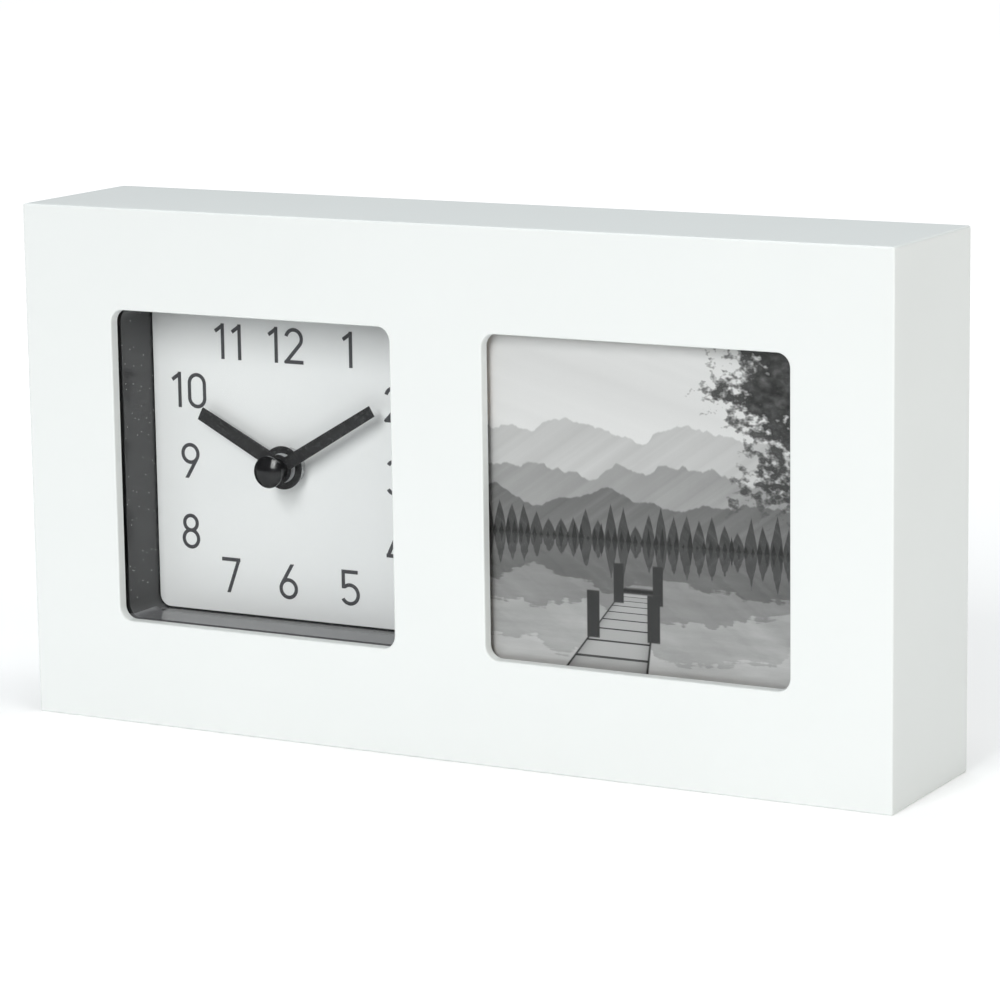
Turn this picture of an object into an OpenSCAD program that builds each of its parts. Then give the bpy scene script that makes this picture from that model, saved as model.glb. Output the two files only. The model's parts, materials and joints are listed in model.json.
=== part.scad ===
// A shelf clock and picture holder: a white board box with two square windows.
// The left window holds a clock in a black recess, the right one a small picture.
// Z is up, the front faces -Y, and the origin is the middle of the underside.
// Depths are measured from the front face backwards.

/* [Box] */
// Depth of the whole box
box_d = 40; // [38.5:0.5:60]
// Thickness of the front panel
panel_t = 2.5; // [2.5:0.1:4]
// Thickness of the four rails of the box
rail_t = 9; // [6:0.5:10]

/* [Windows] */
// Width of each window
window_w = 71; // [66:0.5:80]
// Height of each window
window_h = 70; // [66:0.5:80]
// Radius of the corners of the windows
window_corner = 3; // [1:0.25:5]
// Margin at the left and right of the windows
side_margin = 22.8; // [20:0.2:30]
// Bar between the two windows
middle_bar = 22.4; // [20:0.2:30]
// Margin above the windows
top_margin = 22.6; // [20:0.2:30]
// Margin below the windows
bottom_margin = 23.4; // [20:0.2:30]
// Thickness of the clear panes
pane_t = 1.5; // [1:0.1:2]

/* [Clock recess] */
// Depth of the face of the dial behind the front
recess_d = 16; // [16:0.25:18]
// Thickness of the walls of the recess tray
tray_wall = 1.5; // [1:0.1:2]
// Thickness of the floor of the recess tray
tray_floor = 2; // [1.5:0.1:2.5]
// Thickness of the flange of the recess tray
tray_flange_t = 3; // [2.5:0.1:4]
// How far the flange of the tray reaches past the window
tray_lip = 8.5; // [8:0.1:9.5]
// How far the clear pane reaches past the window
pane_lip = 4; // [2:0.1:4.2]

/* [Dial] */
// Thickness of the dial
dial_t = 0.5; // [0.3:0.05:0.8]
// Height of a numeral
digit_h = 8; // [6:0.1:8.5]
// Width of a round numeral
digit_w = 4.8; // [4.2:0.1:5.4]
// Stroke of the numerals
stroke = 0.82; // [0.6:0.02:1.2]
// Thickness of the printed numerals
ink_t = 0.1; // [0.05:0.01:0.2]
// Centre to centre step of the narrow numeral one beside another
one_step = 4.4; // [4:0.1:4.8]
// Centre to centre step of the other numerals
digit_step = 6.1; // [5.6:0.1:6.4]

/* [Hands] */
// Length of the hour hand from the axis
hour_l = 23.8; // [18:0.1:24.6]
// Length of the minute hand from the axis
minute_l = 28.3; // [26:0.1:30]
// Width of the hour hand at the hub
hour_root_w = 3.5; // [2.4:0.1:3.8]
// Width of the hour hand at the tip
hour_tip_w = 3; // [1.8:0.1:3.4]
// Width of the minute hand at the hub
minute_root_w = 3; // [2:0.1:3.4]
// Width of the minute hand at the tip
minute_tip_w = 2.6; // [1.5:0.1:3]
// Thickness of the hands
hand_t = 0.4; // [0.3:0.05:0.5]
// Depth of the back of the hour hand
hour_hand_at = 13.4; // [13.3:0.05:13.6]
// Depth of the back of the minute hand
minute_hand_at = 11.4; // [11.2:0.05:11.7]
// Radius of the boss of the hour hand
hour_boss_r = 4.85; // [4.2:0.05:5.2]
// Radius of the boss of the minute hand
minute_boss_r = 3.3; // [3.2:0.05:3.9]
// Stored angle of the hour hand, clockwise from twelve
hour_angle = 297; // [0:0.1:359.9]
// Stored angle of the minute hand, clockwise from twelve
minute_angle = 59.1; // [0:0.1:359.9]
// Radius of the cap on the hub
cap_r = 3.55; // [3.2:0.05:3.8]
// Thickness of the rim of the cap
cap_rim = 0.7; // [0.4:0.05:0.9]
// Height of the dome of the cap
cap_dome = 1.1; // [0.8:0.1:1.6]
// Radius of the neck behind the cap
neck_r = 2.6; // [2.4:0.05:3]
// Length of the neck behind the cap
neck_l = 3; // [2.4:0.1:3.4]

/* [Centre pipes] */
// Radius of the seconds arbor and of the pivots
arbor_r = 0.5; // [0.4:0.02:0.5]
// Outer radius of the minute pipe
minute_pipe_r = 1.5; // [1.3:0.05:1.6]
// Outer radius of the hour pipe
hour_pipe_r = 2.5; // [2.3:0.05:2.6]
// Outer radius of the threaded bushing
bushing_r = 3.2; // [3.1:0.05:3.5]
// Radius of the mounting nut
nut_r = 4.2; // [4:0.05:4.8]
// Thickness of the mounting nut
nut_t = 1.4; // [1:0.1:1.6]
// Wall of the collets of the hands
collet_wall = 0.8; // [0.6:0.05:0.9]

/* [Movement] */
// Width of the movement
movement_w = 56; // [56:0.5:58]
// Height of the movement
movement_h = 56; // [56:0.5:58]
// Thickness of the movement
movement_t = 16; // [16:0.1:17]
// Front and back walls of the movement
movement_skin = 1.2; // [0.9:0.05:1.4]
// Side walls of the movement
movement_wall = 1.5; // [1:0.05:1.5]
// Thin walls of the battery bay
bay_wall = 0.8; // [0.6:0.05:0.8]
// Thickness of the bridge that carries the arbors
bridge_t = 1; // [0.8:0.1:1.2]
// Radius of the posts under the bridge
post_r = 1.2; // [1:0.1:1.5]
// Radius of the setting knob
knob_r = 5.5; // [4.5:0.1:6]
// Thickness of the setting knob
knob_t = 2.5; // [2:0.1:2.8]
// Radius of the stem of the setting knob
stem_r = 1.5; // [1.2:0.1:2]
// Number of finger notches round the setting knob
knob_notches = 16; // [10:1:20]

/* [Gear train] */
// Thickness of every wheel
wheel_t = 0.8; // [0.6:0.05:0.9]
// Step from one layer of wheels to the next
layer_step = 1.5; // [1.45:0.01:1.55]
// Teeth of the hour wheel
hour_teeth = 40; // [40:1:40]
// Teeth of the pinion that drives the hour wheel
hour_pinion = 10; // [10:1:10]
// Tooth module asked for the hour wheel and its pinion
hour_module_asked = 0.48; // [0.47:0.005:0.485]
// Teeth of the minute wheel
minute_teeth = 36; // [36:1:36]
// Teeth of the pinion on the minute pipe
cannon_pinion = 12; // [12:1:12]
// Teeth of the centre wheel
centre_teeth = 64; // [64:1:64]
// Teeth of the pinion beside the centre wheel
third_pinion = 8; // [8:1:8]
// Tooth module asked for the centre wheel
centre_module_asked = 0.34; // [0.335:0.001:0.342]
// Teeth of the third wheel
third_teeth = 60; // [60:1:60]
// Teeth of the seconds pinion
seconds_pinion = 8; // [8:1:8]
// Teeth of the seconds wheel
seconds_teeth = 50; // [50:1:50]
// Teeth of the pinion on the fifth arbor
fifth_pinion = 10; // [10:1:10]
// Tooth module asked for the seconds wheel
seconds_module_asked = 0.4; // [0.395:0.001:0.405]
// Teeth of the fifth wheel
fifth_teeth = 48; // [48:1:48]
// Teeth of the rotor pinion
rotor_pinion = 8; // [8:1:8]
// Tooth module of the fifth wheel
fifth_module = 0.3; // [0.29:0.001:0.305]
// Clearance between the wheels and the battery bay
wheel_clear = 0.4; // [0.3:0.05:0.5]
// Radius of the rotor magnet
magnet_r = 2.5; // [2:0.05:2.6]
// Length of the rotor magnet
magnet_t = 2; // [1.5:0.1:2.2]
// Thickness of the stator and of the coil core
stator_t = 0.8; // [0.5:0.05:0.9]
// Radius of the coil
coil_r = 3; // [2.5:0.05:3]
// Length of the coil
coil_l = 19; // [15:0.5:19]

/* [Battery] */
// Radius of the battery
cell_r = 7.25; // [7.15:0.01:7.25]
// Length of the battery with its button
cell_l = 50.5; // [50:0.1:50.5]
// Length of the button of the battery
button_l = 1; // [0.8:0.1:1.2]
// Radius of the button of the battery
button_r = 2.75; // [2:0.05:2.75]
// Thickness of the sleeve round the battery
sleeve_t = 0.1; // [0.08:0.01:0.2]
// Thickness of the battery contacts
contact_t = 0.4; // [0.3:0.05:0.5]

/* [Picture] */
// How far the picture reaches past the window at the sides
print_lap_side = 2.6; // [2:0.1:3]
// How far the picture reaches past the window above and below
print_lap_top = 3.1; // [2:0.1:3.5]
// Thickness of the picture
print_t = 0.3; // [0.2:0.05:0.4]
// Thickness of the backing board
board_t = 2.5; // [2:0.1:3]
// How far the pocket frame reaches past the window
pocket_lip = 9.5; // [9.5:0.1:10.5]
// Length of a turn button
button_long = 14; // [12:0.5:14.5]
// Width of a turn button
button_wide = 5; // [4.6:0.1:5]
// Thickness of a turn button
button_thin = 0.8; // [0.6:0.1:1]

/* [Screws and fits] */
// Radius of the screw shanks
screw_r = 1; // [0.8:0.05:1.1]
// Radius of the screw heads
head_r = 1.9; // [1.6:0.05:2]
// Thickness of the screw heads
head_t = 1.2; // [0.8:0.1:1.5]
// How deep the screws bite into the front panel
bite = 1.4; // [1:0.1:1.6]
// Radial play of a pipe or arbor in its bearing
run_gap = 0.06; // [0.04:0.005:0.07]
// Radial play of an arbor's pivot
pivot_gap = 0.04; // [0.03:0.005:0.06]
// Clearance round pieces that drop into a pocket
fit_gap = 0.3; // [0.15:0.05:0.4]
// Radial gap round screws and the bushing
hole_gap = 0.05; // [0.03:0.01:0.1]

/* [Hidden] */
$fn = 64;

// Sizes of the box, worked out from the windows and their margins
box_w = 2 * side_margin + 2 * window_w + middle_bar;
box_h = top_margin + window_h + bottom_margin;
centre_z = bottom_margin + window_h / 2;
clock_x = -(middle_bar + window_w) / 2;
photo_x = (middle_bar + window_w) / 2;

// Depths of the clock recess and of the movement behind it
pane_back = panel_t + pane_t;
flange_back = panel_t + tray_flange_t;
floor_front = recess_d + dial_t;
movement_front = floor_front + tray_floor;
movement_rear = movement_front + movement_t;
room_front = movement_front + movement_skin;
lid_front = movement_rear - movement_skin;

// Layers of the gear train, and what stands between and behind them
layer_clear = 0.5;
function layer(n) = room_front + layer_clear + (n - 1) * layer_step;
bridge_clear = 0.8;
bridge_front = layer(6) + wheel_t + bridge_clear;
bridge_back = bridge_front + bridge_t;
shake = 0.3;
stator_back = layer(4) - shake;
stator_front = stator_back - stator_t;
pivot_l = 0.7;
pivot_end = 0.1;

// Battery bay along the lower side of the movement
bay_gap = 0.15;
contact_room = 1.45;
bay_low = -movement_h / 2 + bay_wall;
bay_high = bay_low + 2 * (cell_r + bay_gap);
room_low = bay_high + bay_wall;
cell_v = bay_low + cell_r + bay_gap;
cell_depth = movement_rear - cell_r;
bay_half = cell_l / 2 + contact_room;

// Proportions of a tooth: heights in modules, half widths as shares of the pitch
addendum = 0.75;
dedendum = 1.05;
root_share = 0.22;
pitch_share = 0.17;
tip_share = 0.07;

// Modules as asked, or as small as the room above the battery bay makes them
function module_in_room(asked, teeth) =
    min(asked, (-room_low - wheel_clear) / (teeth / 2 + addendum));
hour_module = module_in_room(hour_module_asked, hour_teeth);
centre_module = module_in_room(centre_module_asked, centre_teeth);
seconds_module = module_in_room(seconds_module_asked, seconds_teeth);

// Places of the arbors, seen from the front, round the axis of the hands
function polar(r, a) = [r * cos(a), r * sin(a)];
function mesh_distance(m, a, b) = m * (a + b) / 2;
motion_distance = mesh_distance(hour_module, hour_teeth, hour_pinion);
minute_module = 2 * motion_distance / (minute_teeth + cannon_pinion);
third_distance = mesh_distance(centre_module, centre_teeth, third_pinion);
third_module = 2 * third_distance / (third_teeth + seconds_pinion);
fifth_distance = mesh_distance(seconds_module, seconds_teeth, fifth_pinion);
rotor_distance = mesh_distance(fifth_module, fifth_teeth, rotor_pinion);
minute_bearing = 15;
third_bearing = 145;
fifth_bearing = 75;
rotor_bearing = 60;
minute_at = polar(motion_distance, minute_bearing);
third_at = polar(third_distance, third_bearing);
fifth_at = polar(fifth_distance, fifth_bearing);
rotor_at = fifth_at + polar(rotor_distance, rotor_bearing);

// Picture pocket
print_w = window_w + 2 * print_lap_side;
print_h = window_h + 2 * print_lap_top;
pocket_gap = 0.4;
pocket_w = print_w + 2 * pocket_gap;
pocket_h = print_h + 2 * pocket_gap;
pocket_side = window_w / 2 + pocket_lip;
pocket_top = window_h / 2 + pocket_lip;
print_back = pane_back + print_t;
board_back = print_back + board_t;
board_play = 0.2;
pocket_back = board_back + board_play;
turn_x = (pocket_w / 2 + pocket_side) / 2;
play = 0.05;

// Screws of the tray and of the pocket
tray_side = window_w / 2 + tray_lip;
tray_top = window_h / 2 + tray_lip;
rebate = pane_lip + fit_gap / 2;
tray_screw_x = tray_side - (tray_lip - rebate) / 2;
tray_screw_y = tray_top - (tray_lip - rebate) / 2;
pocket_screw_x = turn_x;
pocket_screw_y = (pocket_h / 2 + pocket_top) / 2;

// Fills the depths from front to back with a flat outline seen from the front
module slab(front, back) {
    translate([0, back - box_d / 2, 0]) rotate([90, 0, 0])
        linear_extrude(back - front) children();
}

module rod(front, back, r) {
    slab(front, back) circle(r);
}

module at_clock() {
    translate([clock_x, 0, centre_z]) children();
}

module at_photo() {
    translate([photo_x, 0, centre_z]) children();
}

module place(p) {
    translate([p[0], 0, p[1]]) children();
}

module four(x, y) {
    for (sx = [-1, 1], sy = [-1, 1]) place([sx * x, sy * y]) children();
}

module rounded(w, h, r) {
    square([w - 2 * r, h], center = true);
    square([w, h - 2 * r], center = true);
    for (sx = [-1, 1], sy = [-1, 1])
        translate([sx * (w / 2 - r), sy * (h / 2 - r)]) circle(r);
}

module window() {
    rounded(window_w, window_h, window_corner);
}

// A pan-head screw with a cross recess, whose head rests at the depth seat
cross_long = 1.3;
cross_wide = 0.26;
module pan_screw(seat, tip) {
    rod(tip, seat, screw_r);
    difference() {
        rod(seat, seat + head_t, head_r);
        slab(seat + head_t / 2, seat + head_t + 1) {
            square([head_r * cross_long, head_r * cross_wide], center = true);
            square([head_r * cross_wide, head_r * cross_long], center = true);
        }
    }
}

// Teeth as four straight flanks each, with room for backlash
function tooth(m, n, i, turn) =
    let (pitch = 360 / n, r = m * n / 2, a = i * pitch + turn,
         root = r - dedendum * m, tip = r + addendum * m,
         w_root = pitch * root_share, w = pitch * pitch_share, w_tip = pitch * tip_share)
    [polar(root, a - w_root), polar(r, a - w), polar(tip, a - w_tip),
     polar(tip, a + w_tip), polar(r, a + w), polar(root, a + w_root)];

module toothed(m, n, turn) {
    polygon([for (i = [0 : n - 1]) each tooth(m, n, i, turn)]);
}

// A wheel with a tooth on the line of centres, and its partner with a gap there
module leading_gear(m, n, bearing) {
    toothed(m, n, bearing);
}

module meshing_gear(m, n, bearing) {
    toothed(m, n, bearing + 180 + 180 / n);
}

// A wheel lightened by round holes between its rim and its hub
hole_place = 0.55;
hole_share = 0.22;
module lightened(r, count) {
    difference() {
        children();
        for (i = [0 : count - 1])
            translate(polar(r * hole_place, i * 360 / count)) circle(r * hole_share);
    }
}

module pivoted_arbor() {
    rod(room_front - pivot_l, bridge_back - pivot_end, arbor_r);
}

module pivot_hole() {
    rod(room_front - pivot_l - pivot_end, room_front + pivot_end, arbor_r + pivot_gap);
}

// The white box
module front_panel() {
    color("white") difference() {
        slab(0, panel_t) translate([0, box_h / 2]) square([box_w, box_h], center = true);
        at_clock() slab(-1, panel_t + 1) window();
        at_photo() slab(-1, panel_t + 1) window();
        at_clock() four(tray_screw_x, tray_screw_y)
            rod(panel_t - bite, panel_t + 1, screw_r + hole_gap);
        at_photo() four(pocket_screw_x, pocket_screw_y)
            rod(panel_t - bite, panel_t + 1, screw_r + hole_gap);
    }
}

module rail(x, z, w, h) {
    color("white") place([x, z]) slab(panel_t, box_d) square([w, h]);
}

module top_rail() rail(-box_w / 2 + rail_t, box_h - rail_t, box_w - 2 * rail_t, rail_t);
module bottom_rail() rail(-box_w / 2 + rail_t, 0, box_w - 2 * rail_t, rail_t);
module left_rail() rail(-box_w / 2, 0, rail_t, box_h);
module right_rail() rail(box_w / 2 - rail_t, 0, rail_t, box_h);

// The clock's window and its black recess
module clock_pane() {
    color([0.85, 0.9, 0.92, 0.4]) at_clock() slab(panel_t, pane_back)
        rounded(window_w + 2 * pane_lip, window_h + 2 * pane_lip, window_corner);
}

module clock_tray() {
    color("#1c1c1e") at_clock() difference() {
        union() {
            slab(panel_t, flange_back) rounded(2 * tray_side, 2 * tray_top, window_corner + 2);
            slab(pane_back, movement_front)
                rounded(window_w + 2 * tray_wall, window_h + 2 * tray_wall, window_corner + tray_wall);
        }
        slab(panel_t - 1, floor_front) window();
        slab(panel_t - 1, pane_back)
            rounded(window_w + 2 * rebate, window_h + 2 * rebate, window_corner);
        rod(floor_front - 1, movement_front + 1, bushing_r + hole_gap);
        four(tray_screw_x, tray_screw_y) rod(panel_t - 1, flange_back + 1, screw_r + hole_gap);
    }
}

module tray_screws() {
    color("silver") at_clock() four(tray_screw_x, tray_screw_y)
        pan_screw(flange_back, panel_t - bite + pivot_end);
}

module dial_plate() {
    color("whitesmoke") at_clock() difference() {
        slab(recess_d, floor_front)
            rounded(window_w - 2 * fit_gap, window_h - 2 * fit_gap, window_corner - fit_gap);
        rod(recess_d - 1, floor_front + 1, bushing_r + hole_gap);
    }
}

// Numerals from straight bars and round bends of one stroke width, where each point
// is a share of the width, the height or the stroke
mid_top = digit_h / 2 - stroke / 2;
mid_side = digit_w / 2 - stroke / 2;

module bar(a, b) {
    translate(a) rotate(atan2(b[1] - a[1], b[0] - a[0]))
        translate([0, -stroke / 2]) square([norm(b - a), stroke]);
}

module bend(c, r, from, to) {
    steps = 12;
    translate(c) intersection() {
        difference() {
            circle(r + stroke / 2);
            circle(r - stroke / 2);
        }
        polygon([[0, 0], for (i = [0 : steps]) polar(3 * r, from + (to - from) * i / steps)]);
    }
}

// Angle at which a line from p touches a circle of radius r round c
function touch_angle(c, r, p) = atan2(p[1] - c[1], p[0] - c[0]) + acos(r / norm(p - c));

module digit_box() {
    intersection() {
        square([2 * digit_w, digit_h], center = true);
        union() children();
    }
}

module zero() {
    y = mid_top - mid_side;
    bend([0, y], mid_side, 0, 180);
    bend([0, -y], mid_side, 180, 360);
    for (s = [-1, 1]) bar([s * mid_side, -y], [s * mid_side, y]);
}

module one() {
    x = digit_w * 0.14;
    top = digit_h / 2;
    digit_box() {
        bar([x, -top], [x, top]);
        bar([x, top - stroke * 0.55], [x - digit_w * 0.4, top - stroke * 2.2]);
    }
}

module two() {
    c = [0, mid_top - mid_side];
    foot = [-mid_side, -mid_top];
    end = touch_angle(c, mid_side, foot);
    digit_box() {
        bend(c, mid_side, end - 6, 165);
        bar(c + polar(mid_side, end), foot - polar(stroke * 0.6, end + 90));
        bar([-digit_w / 2, -mid_top], [digit_w / 2, -mid_top]);
    }
}

module three() {
    upper = mid_top * 0.475;
    lower = mid_top - upper;
    bend([0, mid_top - upper], upper, -90, 150);
    bend([0, -mid_top + lower], lower, -150, 90);
}

module four_digit() {
    x = digit_w * 0.2;
    y = -mid_top + stroke * 1.5;
    digit_box() {
        bar([x, -digit_h / 2], [x, digit_h / 2]);
        bar([-digit_w / 2, y], [digit_w / 2, y]);
        bar([-mid_side, y], [x, mid_top + stroke * 0.2]);
    }
}

module five() {
    r = mid_side * 1.06;
    c = [-digit_w * 0.02, -mid_top + r];
    x = -mid_side + stroke * 0.3;
    bend(c, r, -150, 130);
    bar([x, c[1] + r * 0.6], [x, digit_h / 2]);
    bar([x - stroke / 2, mid_top], [mid_side, mid_top]);
}

module six() {
    c = [0, -mid_top + mid_side];
    top = [digit_w * 0.22, digit_h / 2];
    touch = touch_angle(c, mid_side, top);
    digit_box() {
        bend(c, mid_side, 0, 360);
        bar(c + polar(mid_side, touch), top + polar(stroke, touch - 90));
    }
}

module seven() {
    digit_box() {
        bar([-digit_w / 2, mid_top], [digit_w / 2, mid_top]);
        bar([mid_side, mid_top], [-digit_w * 0.2, -digit_h / 2 - stroke / 2]);
    }
}

module eight() {
    upper = mid_top * 0.465;
    lower = mid_top - upper;
    bend([0, mid_top - upper], upper, 0, 360);
    bend([0, -mid_top + lower], lower, 0, 360);
}

module digit(d) {
    if (d == 0) zero();
    if (d == 1) one();
    if (d == 2) two();
    if (d == 3) three();
    if (d == 4) four_digit();
    if (d == 5) five();
    if (d == 6) six();
    if (d == 7) seven();
    if (d == 8) eight();
    if (d == 9) rotate(180) six();
}

module numeral(hour) {
    if (hour < 10) digit(hour);
    else {
        step = (one_step + (hour == 11 ? one_step : digit_step)) / 2;
        translate([-step / 2, 0]) digit(1);
        translate([step / 2, 0]) digit(hour - 10);
    }
}

// Places of the numerals one to twelve, seen from the front, round the axis of the hands
numeral_places = [
    [15.8, 26.9], [27.2, 15.5], [27, -0.7], [27, -15.8], [15.1, -26.3], [-0.9, -26.3],
    [-15.9, -26.1], [-26.4, -16.9], [-26, -0.7], [-26.4, 15.3], [-15.1, 26.9], [-0.7, 26.9]
];

module dial_numerals() {
    color("#48484a") at_clock() for (hour = [1 : 12])
        slab(recess_d - ink_t, recess_d) translate(numeral_places[hour - 1]) numeral(hour);
}

// What holds the movement to the recess
module mounting_nut() {
    notches = 8;
    notch_r = 0.4;
    color("silver") at_clock() difference() {
        rod(recess_d - nut_t, recess_d, nut_r);
        rod(recess_d - nut_t - 1, recess_d + 1, bushing_r + hole_gap);
        for (i = [0 : notches - 1]) place(polar(nut_r + notch_r / 2, i * 360 / notches))
            rod(recess_d - nut_t - 1, recess_d + 1, notch_r);
    }
}

module threaded_bushing() {
    shown = 0.2;
    flange = 1.2;
    flange_gap = 0.1;
    color("goldenrod") at_clock() difference() {
        union() {
            rod(recess_d - nut_t - shown, room_front, bushing_r);
            rod(room_front, room_front + layer_clear - flange_gap, bushing_r + flange);
        }
        rod(0, room_front + layer_clear, hour_pipe_r + run_gap);
    }
}

// The movement: case, back, bridge and the parts they carry
post_inset = 4;
bridge_posts = [movement_w / 2 - post_inset, movement_h / 2 - post_inset];
low_post_v = room_low + 2.6;
stator_side = 4.9;
stator_bar = 3;
stator_low = rotor_at[1] - stator_side + 0.6;
coil_rise = 3.4;
coil_v = rotor_at[1] + coil_rise;
coil_gap = 0.9;
coil_end = rotor_at[0] - stator_side - coil_gap;
coil_start = coil_end - coil_l;
leg_gap = 0.5;
leg_start = coil_start - leg_gap - stator_bar;
stator_margin = 1.4;
stator_high = coil_v + stator_margin;

module bridge_places() {
    for (sx = [-1, 1]) {
        place([sx * bridge_posts[0], bridge_posts[1]]) children();
        place([sx * bridge_posts[0], low_post_v]) children();
    }
}

module movement_block(low, high, front, back, wall) {
    slab(front, back) translate([-movement_w / 2 + wall, low])
        square([movement_w - 2 * wall, high - low]);
}

module movement_case() {
    top = movement_h / 2;
    color("#2a2b2e") at_clock() {
        difference() {
            union() {
                movement_block(-top, room_low, movement_front, movement_rear, 0);
                movement_block(-top, top, movement_front, lid_front, 0);
            }
            movement_block(room_low, top - movement_wall, room_front, lid_front + 1, movement_wall);
            slab(room_front, movement_rear + 1)
                translate([-bay_half, bay_low]) square([2 * bay_half, bay_high - bay_low]);
            rod(movement_front - 1, room_front + 1, bushing_r);
            for (p = [minute_at, third_at, fifth_at, rotor_at]) place(p) pivot_hole();
        }
        bridge_places() rod(room_front, bridge_front, post_r);
        place([leg_start + stator_bar / 2, stator_low + stator_bar / 2])
            rod(room_front, stator_front, post_r);
        place([rotor_at[0] + stator_side - post_r, coil_v]) rod(room_front, stator_front, post_r);
    }
}

module movement_back() {
    top = movement_h / 2;
    collar = 1.2;
    collar_rise = 0.2;
    grooves = 5;
    groove = [movement_w / 4, 1];
    groove_at = [5 - movement_w / 2, room_low + 4];
    groove_step = 2.4;
    color("#232427") at_clock() difference() {
        union() {
            movement_block(room_low, top, lid_front, movement_rear, 0);
            place(minute_at) rod(lid_front, movement_rear + collar_rise, stem_r + collar);
        }
        place(minute_at) rod(lid_front - 1, movement_rear + 1, stem_r + run_gap);
        for (i = [0 : grooves - 1]) slab(lid_front + movement_skin / 2, movement_rear + 1)
            translate(groove_at + [0, i * groove_step]) square(groove);
    }
}

module gear_bridge() {
    half = movement_w / 2 - movement_wall - fit_gap;
    low = room_low + fit_gap;
    high = movement_h / 2 - movement_wall - fit_gap;
    color("#3c5a73") at_clock() difference() {
        slab(bridge_front, bridge_back) translate([-half, low]) square([2 * half, high - low]);
        for (p = [[0, 0], third_at, fifth_at, rotor_at, minute_at])
            place(p) rod(bridge_front - 1, bridge_back + 1, arbor_r + pivot_gap);
    }
}

module across(x0, x1, v, depth, r) {
    translate([x0, depth - box_d / 2, v]) rotate([0, 90, 0]) cylinder(h = x1 - x0, r = r);
}

// The battery and its two contacts
module battery_cell() {
    color("silver") at_clock() {
        across(-cell_l / 2, cell_l / 2 - button_l, cell_v, cell_depth, cell_r - sleeve_t);
        across(cell_l / 2 - button_l, cell_l / 2, cell_v, cell_depth, button_r);
    }
}

module battery_sleeve() {
    edge = 0.5;
    color("#b07a3a") at_clock() difference() {
        across(edge - cell_l / 2, cell_l / 2 - button_l - edge, cell_v, cell_depth, cell_r);
        across(-cell_l / 2, cell_l / 2, cell_v, cell_depth, cell_r - sleeve_t);
    }
}

contact_w = 11;
module contact_plate(x) {
    translate([x, cell_depth - contact_w / 2 - box_d / 2, cell_v - contact_w / 2])
        cube([contact_t, contact_w, contact_w]);
}

module positive_contact() {
    color("silver") at_clock() {
        contact_plate(bay_half - contact_t);
        across(cell_l / 2 + play, bay_half - contact_t, cell_v, cell_depth, button_r);
    }
}

// A flat plate with a bent leaf that presses on the end of the cell
module negative_contact() {
    root = -bay_half + contact_t;
    crest = -cell_l / 2 - play;
    leaf_w = 6;
    foot = 5.2;
    foot_t = 0.7;
    tip = 1;
    tip_in = 0.8;
    color("silver") at_clock() {
        contact_plate(-bay_half);
        translate([0, cell_depth - box_d / 2, cell_v - leaf_w / 2]) linear_extrude(leaf_w) polygon([
            [root, foot_t - foot], [root, -foot], [crest, -tip],
            [crest, tip], [root, foot], [root, foot - foot_t],
            [crest - contact_t, tip_in], [crest - contact_t, -tip_in]
        ]);
    }
}

// The circuit that drives the coil, between the corner posts and the seconds arbor
circuit_t = 0.8;
circuit_inset = [6, 0.6];
circuit_from = [circuit_inset[0] - movement_w / 2, room_low + circuit_inset[1]];
circuit_to = [-3, circuit_from[1] + 12];
circuit_front = bridge_front - circuit_t;

module circuit_board() {
    color("#2f6b45") at_clock() slab(circuit_front, bridge_front)
        translate(circuit_from) square(circuit_to - circuit_from);
}

module clock_chip() {
    chip_r = 2.4;
    chip_t = 0.8;
    chip_at = [6.5, 6.5];
    color("#111111") at_clock() place(circuit_from + chip_at)
        rod(circuit_front - chip_t, circuit_front, chip_r);
}

module quartz_crystal() {
    can_r = 1;
    can_l = 6.5;
    can_at = circuit_from + [1, 1.6];
    color("silver") at_clock()
        across(can_at[0], can_at[0] + can_l, can_at[1], circuit_front - can_r, can_r);
}

// The stator, its core and its coil
module stator_plate() {
    air_gap = 0.4;
    color("#8d8f92") at_clock() slab(stator_front, stator_back) difference() {
        union() {
            translate([rotor_at[0] - stator_side, stator_low])
                square([2 * stator_side, stator_high - stator_low]);
            translate([leg_start, stator_low])
                square([rotor_at[0] - leg_start - magnet_r - 1, stator_bar]);
            translate([leg_start, stator_low]) square([stator_bar, stator_high - stator_low]);
        }
        translate(rotor_at) circle(magnet_r + air_gap);
    }
}

core_half = 1;
core_lap = 2.5;
module coil_core() {
    color("#9a9c9f") at_clock() slab(stator_back, stator_back + stator_t)
        translate([leg_start, coil_v - core_half])
            square([coil_end + coil_gap + core_lap - leg_start, 2 * core_half]);
}

spool_wall = 0.5;
spool_end = 0.6;
bore_r = norm([core_half, stator_t / 2]) + hole_gap;
spool_r = bore_r + spool_wall;
coil_depth = stator_back + stator_t / 2;
module coil_bobbin() {
    color("ivory") at_clock() difference() {
        union() {
            across(coil_start, coil_end, coil_v, coil_depth, spool_r);
            across(coil_start, coil_start + spool_end, coil_v, coil_depth, coil_r);
            across(coil_end - spool_end, coil_end, coil_v, coil_depth, coil_r);
        }
        across(coil_start - 1, coil_end + 1, coil_v, coil_depth, bore_r);
    }
}

module coil_winding() {
    below_rim = 0.2;
    winding_r = coil_r - below_rim;
    color("#b4632d") at_clock() difference() {
        across(coil_start + spool_end, coil_end - spool_end, coil_v, coil_depth, winding_r);
        across(coil_start, coil_end, coil_v, coil_depth, spool_r);
    }
}

// The running train: rotor, fifth, seconds, third and centre wheels
module wheel_layer(n) {
    slab(layer(n), layer(n) + wheel_t) children();
}

module rotor() {
    color("#5c5e61") at_clock() place(rotor_at) {
        pivoted_arbor();
        rod(coil_depth - magnet_t / 2 - stator_t, coil_depth + magnet_t / 2 - stator_t, magnet_r);
        wheel_layer(6) meshing_gear(fifth_module, rotor_pinion, rotor_bearing);
    }
}

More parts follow.
